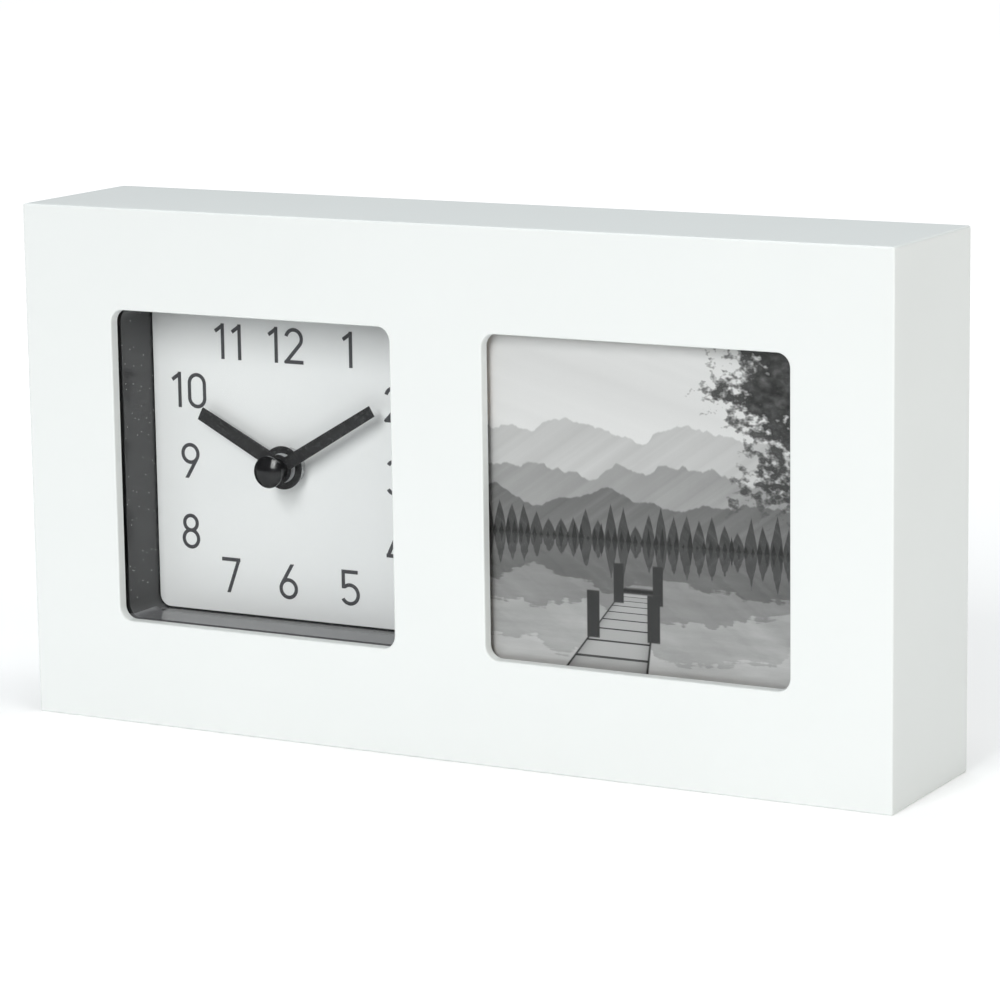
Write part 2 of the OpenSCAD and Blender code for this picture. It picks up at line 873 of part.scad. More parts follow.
module fifth_wheel() {
    color("ivory") at_clock() place(fifth_at) {
        pivoted_arbor();
        wheel_layer(6) leading_gear(fifth_module, fifth_teeth, rotor_bearing);
        wheel_layer(5) meshing_gear(seconds_module, fifth_pinion, fifth_bearing);
    }
}

module seconds_wheel() {
    color("ivory") at_clock() {
        rod(minute_hand_at - hand_t, bridge_back - pivot_end, arbor_r);
        wheel_layer(5) lightened(seconds_module * seconds_teeth / 2, 5)
            leading_gear(seconds_module, seconds_teeth, fifth_bearing);
        wheel_layer(4) leading_gear(third_module, seconds_pinion, third_bearing);
    }
}

module third_wheel() {
    color("ivory") at_clock() place(third_at) {
        pivoted_arbor();
        wheel_layer(4) lightened(third_module * third_teeth / 2, 5)
            meshing_gear(third_module, third_teeth, third_bearing);
        wheel_layer(3) meshing_gear(centre_module, third_pinion, third_bearing);
    }
}

module centre_wheel() {
    color("goldenrod") at_clock() difference() {
        wheel_layer(3) lightened(centre_module * centre_teeth / 2, 6)
            leading_gear(centre_module, centre_teeth, third_bearing);
        rod(layer(3) - 1, layer(3) + wheel_t + 1, minute_pipe_r + pivot_gap);
    }
}

// The motion work: minute pipe, minute wheel with its knob, and hour wheel
collet_show = 0.4;
pipe_show = 1.2;
shoulder = 0.9;
pipe_front = minute_hand_at - hand_t - pipe_show;
hour_front = hour_hand_at - hand_t - collet_show;
washer_t = 0.4;

module minute_arbor() {
    clutch = layer(3) + wheel_t;
    color("goldenrod") at_clock() difference() {
        union() {
            rod(pipe_front, clutch + washer_t, minute_pipe_r);
            wheel_layer(2) leading_gear(minute_module, cannon_pinion, minute_bearing);
            rod(layer(2) + wheel_t, layer(3), minute_pipe_r + shoulder);
        }
        rod(0, clutch + washer_t + 1, arbor_r + run_gap);
    }
}

module clutch_washer() {
    clutch = layer(3) + wheel_t;
    color("silver") at_clock() difference() {
        rod(clutch, clutch + washer_t, minute_pipe_r + shoulder);
        rod(clutch - 1, clutch + washer_t + 1, minute_pipe_r);
    }
}

stem_front = bridge_back + shake;
knob_gap = 0.4;
module minute_wheel() {
    color("ivory") at_clock() place(minute_at) {
        rod(room_front - pivot_l, lid_front, arbor_r);
        wheel_layer(2) meshing_gear(minute_module, minute_teeth, minute_bearing);
        wheel_layer(1) leading_gear(hour_module, hour_pinion, minute_bearing + 180);
    }
}

module set_knob() {
    knob_front = movement_rear + knob_gap;
    notch_r = 0.7;
    slot_t = 0.6;
    color("#3a3b3f") at_clock() place(minute_at) difference() {
        union() {
            rod(stem_front, knob_front, stem_r);
            rod(knob_front, knob_front + knob_t, knob_r);
        }
        rod(stem_front - 1, lid_front, arbor_r);
        for (i = [0 : knob_notches - 1])
            place(polar(knob_r + notch_r / 2, i * 360 / knob_notches))
                rod(knob_front - 1, knob_front + knob_t + 1, notch_r);
        slab(knob_front + knob_t - slot_t, knob_front + knob_t + 1)
            square([knob_r * 1.1, knob_r * 0.2], center = true);
    }
}

module hour_wheel() {
    color("ivory") at_clock() difference() {
        union() {
            wheel_layer(1) meshing_gear(hour_module, hour_teeth, minute_bearing + 180);
            rod(hour_front, layer(1), hour_pipe_r);
        }
        rod(0, layer(1) + wheel_t + 1, minute_pipe_r + run_gap);
    }
}

// The hands, flat batons with square tips on round bosses
module hand(back, length, root_w, tip_w, boss_r, hole_r, angle) {
    difference() {
        union() {
            rod(back - hand_t, back, boss_r);
            slab(back - hand_t, back) rotate(-angle) polygon([
                [-root_w / 2, 0], [-tip_w / 2, length],
                [tip_w / 2, length], [root_w / 2, 0]
            ]);
        }
        rod(back - hand_t - 1, back + 1, hole_r);
    }
}

hour_collet_r = hour_pipe_r + collet_wall;
minute_collet_r = minute_pipe_r + collet_wall;

module hour_hand() {
    color("#1b1b1c") at_clock()
        hand(hour_hand_at, hour_l, hour_root_w, hour_tip_w,
            hour_boss_r, hour_collet_r, hour_angle);
}

module hour_collet() {
    color("ivory") at_clock() difference() {
        rod(hour_front, hour_hand_at + collet_show, hour_collet_r);
        rod(hour_front - 1, hour_hand_at + 1, hour_pipe_r);
    }
}

module minute_hand() {
    color("#1b1b1c") at_clock()
        hand(minute_hand_at, minute_l, minute_root_w, minute_tip_w,
            minute_boss_r, minute_collet_r, minute_angle);
}

collet_flange_t = 0.3;
cap_back = minute_hand_at - hand_t - collet_flange_t;
module minute_collet() {
    color("#1b1b1c") at_clock() difference() {
        union() {
            rod(minute_hand_at - hand_t, minute_hand_at + collet_show, minute_collet_r);
            rod(cap_back, minute_hand_at - hand_t, neck_r);
        }
        rod(cap_back - 1, minute_hand_at + 1, minute_pipe_r);
    }
}

module hub_cap() {
    dome_r = (cap_r * cap_r + cap_dome * cap_dome) / (2 * cap_dome);
    rim_back = cap_back - neck_l;
    dome_at = rim_back - cap_rim;
    color("#0c0c0d") at_clock() difference() {
        union() {
            rod(rim_back, cap_back, neck_r);
            rod(dome_at, rim_back, cap_r);
            intersection() {
                translate([0, dome_at - cap_dome + dome_r - box_d / 2, 0]) sphere(dome_r);
                rod(dome_at - cap_dome - 1, dome_at, cap_r);
            }
        }
        rod(pipe_front - hole_gap, cap_back + 1, minute_pipe_r);
    }
}

// The picture side: pane, pocket, picture, backing board and turn buttons
module photo_pane() {
    color([0.85, 0.9, 0.92, 0.4]) at_photo() slab(panel_t, pane_back)
        square([print_w, print_h], center = true);
}

module photo_pocket() {
    color("burlywood") at_photo() difference() {
        slab(panel_t, pocket_back) rounded(2 * pocket_side, 2 * pocket_top, window_corner);
        slab(panel_t - 1, pocket_back + 1) square([pocket_w, pocket_h], center = true);
        four(pocket_screw_x, pocket_screw_y) rod(panel_t - 1, pocket_back + 1, screw_r + hole_gap);
        for (s = [-1, 1]) place([s * turn_x, 0])
            rod(panel_t - 1, pocket_back + 1, screw_r + hole_gap);
    }
}

module pocket_screws() {
    color("silver") at_photo() four(pocket_screw_x, pocket_screw_y)
        pan_screw(pocket_back, panel_t - bite + pivot_end);
}

module photo_print() {
    color("gray") at_photo() slab(pane_back, print_back)
        square([print_w, print_h], center = true);
}

board_corner = 1;
module backing_board() {
    color("tan") at_photo() slab(print_back, board_back)
        rounded(print_w, print_h, board_corner);
}

module turn_button(side) {
    color("goldenrod") at_photo() place([side * turn_x, 0]) difference() {
        slab(pocket_back, pocket_back + button_thin)
            rounded(button_wide, button_long, button_wide / 2 - 0.01);
        rod(pocket_back - 1, pocket_back + button_thin + 1, screw_r + run_gap);
    }
}

tip_gap = 0.5;
module turn_button_left() turn_button(-1);
module turn_button_right() turn_button(1);

module turn_button_screws() {
    color("silver") at_photo() for (s = [-1, 1]) place([s * turn_x, 0]) {
        pan_screw(pocket_back + button_thin + play, panel_t + tip_gap);
    }
}

front_panel();
top_rail();
bottom_rail();
left_rail();
right_rail();
clock_pane();
clock_tray();
tray_screws();
dial_plate();
dial_numerals();
mounting_nut();
threaded_bushing();
movement_case();
movement_back();
gear_bridge();
battery_cell();
battery_sleeve();
positive_contact();
negative_contact();
circuit_board();
clock_chip();
quartz_crystal();
stator_plate();
coil_core();
coil_bobbin();
coil_winding();
rotor();
fifth_wheel();
seconds_wheel();
third_wheel();
centre_wheel();
minute_arbor();
clutch_washer();
minute_wheel();
set_knob();
hour_wheel();
hour_hand();
hour_collet();
minute_hand();
minute_collet();
hub_cap();
photo_pane();
photo_pocket();
pocket_screws();
photo_print();
backing_board();
turn_button_left();
turn_button_right();
turn_button_screws();
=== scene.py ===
"""Finishes a shelf clock with a picture window: white box, black recess, hands and back."""

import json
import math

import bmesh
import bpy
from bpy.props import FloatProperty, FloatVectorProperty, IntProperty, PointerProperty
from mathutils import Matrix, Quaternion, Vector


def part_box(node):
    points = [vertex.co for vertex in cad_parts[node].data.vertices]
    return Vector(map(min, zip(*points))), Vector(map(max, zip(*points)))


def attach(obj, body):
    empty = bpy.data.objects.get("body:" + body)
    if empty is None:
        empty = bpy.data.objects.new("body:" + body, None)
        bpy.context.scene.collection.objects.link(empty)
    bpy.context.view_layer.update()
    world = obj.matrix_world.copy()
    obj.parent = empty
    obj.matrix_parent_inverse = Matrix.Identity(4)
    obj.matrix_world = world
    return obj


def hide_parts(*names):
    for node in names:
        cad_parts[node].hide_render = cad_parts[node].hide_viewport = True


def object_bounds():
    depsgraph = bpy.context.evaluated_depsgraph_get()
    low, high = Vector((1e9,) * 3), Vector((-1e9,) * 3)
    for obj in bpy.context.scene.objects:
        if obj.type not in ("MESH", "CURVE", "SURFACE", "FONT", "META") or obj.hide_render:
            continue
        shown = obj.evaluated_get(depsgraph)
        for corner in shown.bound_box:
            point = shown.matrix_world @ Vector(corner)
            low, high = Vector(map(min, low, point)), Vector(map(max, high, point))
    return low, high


bl_info = {
    "name": "Picture Frame Clock",
    "version": (1, 0, 0),
    "blender": (4, 5, 0),
    "location": "3D View > Sidebar > Clock",
    "description": "Models and finishes a white box clock with a picture window",
    "category": "Object",
}

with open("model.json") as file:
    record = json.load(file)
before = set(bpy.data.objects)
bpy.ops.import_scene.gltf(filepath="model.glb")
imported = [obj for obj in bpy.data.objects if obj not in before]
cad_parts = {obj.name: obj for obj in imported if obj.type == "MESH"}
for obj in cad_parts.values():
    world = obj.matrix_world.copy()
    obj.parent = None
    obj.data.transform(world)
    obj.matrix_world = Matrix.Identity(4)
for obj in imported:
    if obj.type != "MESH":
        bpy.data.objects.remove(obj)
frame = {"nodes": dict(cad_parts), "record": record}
cad_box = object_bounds()

MM = 0.001
TINY = 1e-6

# An edge is sharp above the first angle, and counts as a crease to soften above the second
SHARP_ANGLE = math.radians(40)
CREASE_ANGLE = math.radians(30)


def middle(node):
    """The centre of a CAD node's box."""
    low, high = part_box(node)
    return (low + high) / 2


def breadth(node):
    """Width and height of a CAD node's box, seen from the front."""
    low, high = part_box(node)
    return high.x - low.x, high.z - low.z


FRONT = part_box("front_panel")[0].y
PANEL_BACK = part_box("front_panel")[1].y
AXIS = middle("hub_cap")
PICTURE = middle("photo_pane")
PANE_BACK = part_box("clock_pane")[1].y
DIAL_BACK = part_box("dial_plate")[1].y


# Settings that a user would change

class ClockSizes(bpy.types.PropertyGroup):
    """Sizes of the finish, over the fixed frame."""

    edge_round: FloatProperty(
        name="Edge rounding", description="Rounding of the painted box's outer edges",
        default=0.5 * MM, min=0.1 * MM, max=1.5 * MM, unit="LENGTH")
    window_round: FloatProperty(
        name="Window rounding", description="Rounding of the front edge of both windows",
        default=0.4 * MM, min=0.1 * MM, max=1 * MM, unit="LENGTH")
    window_corner: FloatProperty(
        name="Window corner", description="Corner radius of both windows",
        default=3 * MM, min=1 * MM, max=6 * MM, unit="LENGTH")
    corner_steps: IntProperty(
        name="Corner steps", description="Facets in each rounded corner",
        default=10, min=4, max=24)
    spin_steps: IntProperty(
        name="Turning steps", description="Facets round each turned piece",
        default=64, min=24, max=128)


class ClockColours(bpy.types.PropertyGroup):
    """Colours of the finish."""

    paint: FloatVectorProperty(
        name="Box paint", description="Satin white of the box",
        default=(0.788, 0.815, 0.806), subtype="COLOR", min=0, max=1)
    recess: FloatVectorProperty(
        name="Recess", description="Plastic of the clock's recess",
        default=(0.045, 0.045, 0.047), subtype="COLOR", min=0, max=1)
    dial: FloatVectorProperty(
        name="Dial", description="Card of the dial",
        default=(0.935, 0.945, 0.95), subtype="COLOR", min=0, max=1)
    ink: FloatVectorProperty(
        name="Numerals", description="Ink of the numerals",
        default=(0.055, 0.055, 0.06), subtype="COLOR", min=0, max=1)
    sleeve: FloatVectorProperty(
        name="Battery", description="Film round the battery",
        default=(0.05, 0.13, 0.3), subtype="COLOR", min=0, max=1)


# Shader maths written as Python expressions

class Field:
    """A number that varies over a surface, with operators that add Math nodes."""

    def __init__(self, recipe, socket):
        self.recipe = recipe
        self.socket = socket

    def __add__(self, other):
        return self.recipe.math("ADD", self, other)

    def __radd__(self, other):
        return self.recipe.math("ADD", other, self)

    def __sub__(self, other):
        return self.recipe.math("SUBTRACT", self, other)

    def __rsub__(self, other):
        return self.recipe.math("SUBTRACT", other, self)

    def __mul__(self, other):
        return self.recipe.math("MULTIPLY", self, other)

    def __rmul__(self, other):
        return self.recipe.math("MULTIPLY", other, self)

    def __truediv__(self, other):
        return self.recipe.math("DIVIDE", self, other)

    def __rtruediv__(self, other):
        return self.recipe.math("DIVIDE", other, self)

    def __pow__(self, other):
        return self.recipe.math("POWER", self, other)

    def __abs__(self):
        return self.recipe.math("ABSOLUTE", self)

    def __gt__(self, other):
        return self.recipe.math("GREATER_THAN", self, other)

    def __lt__(self, other):
        return self.recipe.math("LESS_THAN", self, other)

    def clamp(self):
        """The value held between 0 and 1."""
        return self.recipe.math("ADD", self, 0.0, clamped=True)

    def edge(self, sharpness):
        """A soft step: 0 below zero and 1 above it."""
        return (self * sharpness + 0.5).clamp()

    def floor(self):
        """The whole number below the value."""
        return self.recipe.math("FLOOR", self)

    def fraction(self):
        """What is left above the whole number."""
        return self.recipe.math("FRACT", self)

    def largest(self, other):
        """The larger of two values at each place."""
        return self.recipe.math("MAXIMUM", self, other)

    def over(self, under, mask):
        """This value where the mask is 1, and the other where it is 0."""
        return under + (self - under) * mask


class Recipe:
    """A material in the making: its nodes, its shader and short names for both."""

    def __init__(self, name, **fixed):
        self.material = bpy.data.materials.new(name)
        self.material.use_nodes = True
        self.tree = self.material.node_tree
        self.shader = self.tree.nodes["Principled BSDF"]
        for socket, value in fixed.items():
            self.set(socket.replace("_", " "), value)

    def feed(self, socket, value):
        """Puts a number, a colour, a socket or a field on an input."""
        if isinstance(value, Field):
            value = value.socket
        if isinstance(value, bpy.types.NodeSocket):
            self.tree.links.new(value, socket)
        elif socket.type == "RGBA" and len(value) == 3:
            socket.default_value = (*value, 1)
        else:
            socket.default_value = value

    def set(self, name, value):
        """Puts a value on a socket of the shader."""
        self.feed(self.shader.inputs[name], value)

    def node(self, kind, settings=None, sockets=None):
        """Adds a node, with its settings first and then its sockets."""
        made = self.tree.nodes.new("ShaderNode" + kind)
        for name, value in (settings or {}).items():
            setattr(made, name, value)
        for name, value in (sockets or {}).items():
            self.feed(made.inputs[name], value)
        return made

    def math(self, operation, first, second=0.0, clamped=False):
        """The field that a Math node gives from two values."""
        settings = {"operation": operation, "use_clamp": clamped}
        made = self.node("Math", settings, {0: first, 1: second})
        return Field(self, made.outputs[0])

    def place(self, centre=(0, 0, 0), stretch=(1, 1, 1)):
        """Object coordinates about a centre, stretched along the axes."""
        coordinates = self.node("TexCoord").outputs["Object"]
        shift = tuple(-c * s for c, s in zip(centre, stretch))
        sockets = {"Vector": coordinates, "Location": shift, "Scale": stretch}
        return self.node("Mapping", None, sockets).outputs["Vector"]

    def axes(self, vector):
        """The three coordinates of a vector as fields."""
        split = self.node("SeparateXYZ", None, {"Vector": vector})
        return [Field(self, split.outputs[i]) for i in range(3)]

    def noise(self, vector, size, detail=3.0, roughness=0.5):
        """Soft noise whose patches are about as wide as size."""
        sockets = {"Vector": vector, "Scale": 1 / size, "Detail": detail, "Roughness": roughness}
        made = self.node("TexNoise", None, sockets)
        return Field(self, made.outputs["Fac"])

    def wave_line(self, along, frequency, offset, detail=3.0):
        """Noise along one line, from about -1 to 1."""
        sockets = {"W": along * frequency + offset, "Scale": 1.0, "Detail": detail}
        made = self.node("TexNoise", {"noise_dimensions": "1D"}, sockets)
        return (Field(self, made.outputs["Fac"]) - 0.5) * 2.4

    def chance(self, value):
        """A random number for each whole value."""
        made = self.node("TexWhiteNoise", {"noise_dimensions": "1D"}, {"W": value})
        return Field(self, made.outputs["Value"])

    def cells(self, vector, size):
        """Distance to the nearest point of a scatter, and a random number for it."""
        made = self.node("TexVoronoi", None, {"Vector": vector, "Scale": 1 / size})
        split = self.node("SeparateColor", None, {"Color": made.outputs["Color"]})
        return Field(self, made.outputs["Distance"]), Field(self, split.outputs[0])

    def blend(self, mask, first, second):
        """A colour between two, by a mask."""
        made = self.node("Mix", {"data_type": "RGBA"}, {0: mask, 6: first, 7: second})
        return made.outputs[2]

    def bump(self, height, strength, distance):
        """Feeds a bump of a height field to the shader."""
        sockets = {"Strength": strength, "Distance": distance, "Height": height}
        self.set("Normal", self.node("Bump", None, sockets).outputs["Normal"])


MADE = {}


def material(maker):
    """The material that a function makes, made once."""
    if maker not in MADE:
        MADE[maker] = maker()
    return MADE[maker]


def colours():
    """The colours that the user set."""
    return bpy.context.scene.clock_colours


def sizes():
    """The sizes that the user set."""
    return bpy.context.scene.clock_sizes


# Finishes of the box

def white_paint():
    """Satin sprayed paint over fibreboard: a faint orange peel and faint smudges."""
    recipe = Recipe("white_paint", IOR=1.45)
    where = recipe.place()
    peel = recipe.noise(where, 0.9 * MM, 2.0)
    grain = recipe.noise(where, 0.22 * MM, 2.0)
    smudge = recipe.noise(where, 38 * MM, 3.0)
    paint = tuple(colours().paint)
    shade = tuple(c * 0.965 for c in paint)
    recipe.set("Base Color", recipe.blend(smudge, paint, shade))
    recipe.set("Roughness", 0.37 + 0.1 * smudge + 0.04 * grain)
    recipe.bump(peel * 0.7 + grain * 0.3, 0.16, 0.02 * MM)
    return recipe.material


def raw_board():
    """Bare fibreboard with pressed fibres."""
    recipe = Recipe("raw_board", IOR=1.4)
    where = recipe.place(stretch=(1, 1, 2.5))
    fibre = recipe.noise(where, 1.1 * MM, 5.0, 0.7)
    patch = recipe.noise(where, 14 * MM, 2.0)
    tone = (fibre * 1.5 - 0.25).clamp()
    dark = recipe.blend(patch, (0.36, 0.25, 0.15), (0.43, 0.31, 0.2))
    recipe.set("Base Color", recipe.blend(tone, dark, (0.6, 0.46, 0.31)))
    recipe.set("Roughness", 0.78 + 0.12 * fibre)
    recipe.bump(fibre, 0.4, 0.08 * MM)
    return recipe.material


def hardboard():
    """Brown hardboard of the backing board: smooth face with flecks."""
    recipe = Recipe("hardboard", IOR=1.45)
    where = recipe.place()
    fleck = recipe.noise(where, 0.7 * MM, 6.0, 0.75)
    patch = recipe.noise(where, 20 * MM, 3.0)
    base = recipe.blend(patch, (0.2, 0.115, 0.06), (0.29, 0.175, 0.095))
    light = ((fleck - 0.52) * 6).clamp() * 0.5
    recipe.set("Base Color", recipe.blend(light, base, (0.42, 0.28, 0.16)))
    recipe.set("Roughness", 0.55 + 0.2 * fleck)
    recipe.bump(fleck, 0.35, 0.05 * MM)
    return recipe.material


# Finishes of the clock

def recess_plastic():
    """Black moulded plastic with a fine grain, specks of dust, and a front ledge lightened by
    painted sheen and dust.
    """
    recipe = Recipe("recess_plastic", IOR=1.5)
    where = recipe.place()
    _, depth, height = recipe.axes(where)
    ledge_at = AXIS.z - window_size()[1] / 2
    ledge_half, ledge_end = 0.7 * MM, DIAL_BACK - 4 * MM
    # The front strip of the recess floor, lightened by painted sheen as well as dust
    ledge_sheen = (abs(height - ledge_at) < ledge_half) * (ledge_end - depth).edge(0.5 / MM)
    grain = recipe.noise(where, 0.25 * MM, 2.0)
    haze = recipe.noise(where, 9 * MM, 3.0)
    distance, luck = recipe.cells(where, 1.3 * MM)
    speck = (0.085 - distance).edge(40) * (luck > 0.72)
    recess = tuple(colours().recess)
    clean = recipe.blend(haze * 0.5, recess, tuple(c * 1.7 for c in recess))
    # Painted sheen and dust make the front ledge paler than the clean plastic
    sheen_and_dust = recipe.blend(ledge_sheen * (0.8 + 0.4 * haze), clean, (0.2, 0.2, 0.21))
    recipe.set("Base Color", recipe.blend(speck, sheen_and_dust, (0.62, 0.62, 0.6)))
    recipe.set("Roughness", 0.13 + 0.08 * haze + 0.3 * speck)
    recipe.bump(grain, 0.05, 0.02 * MM)
    return recipe.material


def dial_card():
    """Matt white card with a very fine tooth."""
    recipe = Recipe("dial_card", IOR=1.4, Roughness=0.62)
    where = recipe.place()
    tooth = recipe.noise(where, 0.3 * MM, 3.0)
    tint = recipe.noise(where, 25 * MM, 2.0)
    card = tuple(colours().dial)
    recipe.set("Base Color", recipe.blend(tint, card, tuple(c * 0.975 for c in card)))
    recipe.bump(tooth, 0.12, 0.015 * MM)
    return recipe.material


def dial_ink():
    """Dark grey printing ink, slightly uneven in cover."""
    recipe = Recipe("dial_ink", IOR=1.45, Roughness=0.5)
    cover = recipe.noise(recipe.place(), 0.35 * MM, 3.0)
    ink = tuple(colours().ink)
    thin = tuple(c * 1.6 for c in ink)
    recipe.set("Base Color", recipe.blend(cover, ink, thin))
    return recipe.material


def powder_black():
    """Black powder coat of the hands: matt and grainy."""
    recipe = Recipe("powder_black", IOR=1.5)
    where = recipe.place()
    grain = recipe.noise(where, 0.34 * MM, 3.0, 0.7)
    bright = ((grain - 0.57) * 12).clamp()
    recipe.set("Base Color", recipe.blend(bright, (0.01, 0.01, 0.011), (0.12, 0.12, 0.125)))
    recipe.set("Roughness", 0.5 + 0.2 * grain)
    recipe.bump(grain, 0.5, 0.04 * MM)
    return recipe.material


def cap_gloss():
    """Glossy black moulding of the cap, with faint handling marks."""
    recipe = Recipe("cap_gloss", IOR=1.5, Base_Color=(0.006, 0.006, 0.007))
    mark = recipe.noise(recipe.place(), 1.5 * MM, 5.0, 0.7)
    recipe.set("Roughness", 0.1 + 0.1 * mark)
    return recipe.material


def metal(name, colour, roughness, grain_size, stretch=(1, 1, 1)):
    """A worked metal: drawn or rolled grain with a little change of tone."""
    recipe = Recipe(name, Metallic=1.0)
    where = recipe.place(stretch=stretch)
    grain = recipe.noise(where, grain_size, 4.0, 0.6)
    stain = recipe.noise(recipe.place(), 5 * MM, 3.0)
    darker = tuple(c * 0.8 for c in colour)
    recipe.set("Base Color", recipe.blend(stain, colour, darker))
    recipe.set("Roughness", roughness + 0.14 * grain)
    recipe.bump(grain, 0.15, 0.01 * MM)
    return recipe.material


def bright_steel():
    return metal("bright_steel", (0.72, 0.72, 0.73), 0.2, 0.3 * MM)


def rolled_brass():
    return metal("rolled_brass", (0.78, 0.56, 0.25), 0.24, 0.3 * MM, (1, 1, 6))


def cell_steel():
    return metal("cell_steel", (0.7, 0.7, 0.72), 0.16, 0.25 * MM)


def silicon_iron():
    return metal("silicon_iron", (0.45, 0.46, 0.48), 0.35, 0.4 * MM, (4, 1, 1))


def magnet_grey():
    return metal("magnet_grey", (0.16, 0.16, 0.17), 0.4, 0.2 * MM)


def moulded(name, colour, roughness, grain, strength):
    """Moulded plastic: an even colour, a spark-eroded grain and soft flow marks."""
    recipe = Recipe(name, IOR=1.49)
    where = recipe.place()
    texture = recipe.noise(where, grain, 3.0, 0.6)
    flow = recipe.noise(where, 12 * MM, 3.0)
    recipe.set("Base Color", recipe.blend(flow, colour, tuple(c * 0.86 for c in colour)))
    recipe.set("Roughness", roughness + 0.12 * texture)
    recipe.bump(texture, strength, 0.03 * MM)
    return recipe.material


def movement_black():
    return moulded("movement_black", (0.022, 0.023, 0.026), 0.42, 0.22 * MM, 0.45)


def lid_black():
    return moulded("lid_black", (0.03, 0.031, 0.034), 0.5, 0.3 * MM, 0.6)


def bridge_blue():
    return moulded("bridge_blue", (0.1, 0.2, 0.32), 0.4, 0.4 * MM, 0.2)


def nylon():
    return moulded("nylon", (0.8, 0.78, 0.7), 0.38, 0.5 * MM, 0.15)


def pale_grey():
    return moulded("pale_grey", (0.66, 0.67, 0.69), 0.3, 0.4 * MM, 0.1)


def board_green():
    return moulded("board_green", (0.03, 0.17, 0.08), 0.25, 0.35 * MM, 0.25)


def chip_black():
    return moulded("chip_black", (0.008, 0.008, 0.009), 0.35, 0.3 * MM, 0.2)


def copper_wire():
    """Fine enamelled wire wound side by side round the coil's long axis, with painted shade
    between turns and painted highlight on their crowns.
    """
    recipe = Recipe("copper_wire", Metallic=1.0, Roughness=0.3)
    wire_wide = 0.12 * MM
    along, _, _ = recipe.axes(recipe.place())
    turn = (along / wire_wide).fraction() - 0.5
    ridge = 1 - abs(turn) * 2
    # Base colour: painted shade in the grooves between turns, painted highlight on each turn's
    # crown
    recipe.set("Base Color", recipe.blend(ridge, (0.22, 0.06, 0.02), (0.72, 0.3, 0.12)))
    recipe.bump(ridge, 0.6, 0.05 * MM)
    return recipe.material


def battery_film():
    """Printed film round the battery: plain bands along its length."""
    recipe = Recipe("battery_film", IOR=1.5, Coat_Weight=0.4, Coat_Roughness=0.12)
    low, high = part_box("battery_sleeve")
    along, _, _ = recipe.axes(recipe.place())
    share = (along - low.x) / (high.x - low.x)
    scuff = recipe.noise(recipe.place(), 3 * MM, 6.0, 0.7)
    band = (share - 0.7).edge(400)
    lines = (abs(share - 0.73) < 0.006).largest(abs(share - 0.75) < 0.003)
    blue = tuple(colours().sleeve)
    film = recipe.blend(band, blue, (0.62, 0.64, 0.66))
    recipe.set("Base Color", recipe.blend(lines, film, (0.03, 0.035, 0.045)))
    recipe.set("Roughness", 0.22 + 0.16 * scuff)
    return recipe.material


def pane(name, border=None):
    """A thin clear pane that mirrors a little, with a printed border outside a size."""
    ior, mirror_share = 1.45, 0.4
    recipe = Recipe(name, Roughness=0.03, IOR=ior, Base_Color=(0.1, 0.1, 0.103))
    clear = recipe.node("BsdfTransparent", None, {"Color": (0.995, 1, 0.997)})
    mirror = recipe.node("Fresnel", None, {"IOR": ior}).outputs[0]
    factor = (Field(recipe, mirror) * mirror_share).clamp()
    if border:
        x, _, z = recipe.axes(recipe.place(AXIS))
        printed = (abs(x) > border[0] / 2).largest(abs(z) > border[1] / 2)
        factor = factor.largest(printed)
    sockets = {0: factor, 1: clear.outputs[0], 2: recipe.shader.outputs[0]}
    mixed = recipe.node("MixShader", None, sockets)
    output = recipe.tree.nodes["Material Output"]
    recipe.tree.links.new(mixed.outputs[0], output.inputs["Surface"])
    return recipe.material


def clear_pane():
    return pane("clear_pane")


def bordered_pane():
    return pane("bordered_pane", window_size())


# The picture: a plain lake scene in black and white, made of ridges, trees and water.
# Its places are shares of half the print, from -1 to 1 to the right (u) and up (v).

SHORE = -0.2
JETTY_FOOT = -1.15
JETTY_POSTS = (0.3, 0.52)
LEAVES = (1.12, 1.0)

# Height of the foot, height of the peaks, peaks, seed, tone and haze of each ridge
RIDGES = (
    (0.42, 0.26, 1.25, 11.3, 0.75, 0.1),
    (0.2, 0.2, 1.7, 4.1, 0.6, 0.16),
    (0.03, 0.12, 2.3, 27.9, 0.43, 0.24),
)


def tree_line(recipe, u, base, height, count, seed):
    """The top of a row of firs: one spike for each cell along the shore."""
    wander = recipe.wave_line(u, count * 0.9, seed, 2.0) * 0.12
    place = u * count + seed + wander
    spike = 1 - abs(place.fraction() - 0.5) * 2
    tall = recipe.chance(place.floor()) * 0.65 + 0.35
    return base + height * tall * (spike ** 0.75)


def far_view(recipe, u, v):
    """Tone of the sky, the ridges and the trees at a place above the shore."""
    cloud = recipe.wave_line(v * 2.6 + u * 0.7, 1.6, 3.0, 3.0)
    tone = 0.9 - 0.05 * v + 0.035 * cloud
    for base, height, frequency, seed, shade, haze in RIDGES:
        top = base + height * recipe.wave_line(u, frequency, seed, 6.0)
        fold = recipe.wave_line(u * 2.2 - v * 3.1, frequency * 2.2, seed, 4.0)
        slope = shade + 0.05 * fold + haze * (top - v).clamp()
        tone = slope.over(tone, (top - v).edge(90))
    firs = tree_line(recipe, u, base=SHORE + 0.02, height=0.2, count=13, seed=5.0)
    tone = (0.27 + 0.06 * recipe.wave_line(u + v, 21, 9.0)).over(tone, (firs - v).edge(60))
    near = tree_line(recipe, u, base=SHORE - 0.03, height=0.13, count=24, seed=12.5)
    return (0.16 + 0.05 * recipe.wave_line(u - v, 33, 2.0)).over(tone, (near - v).edge(70))


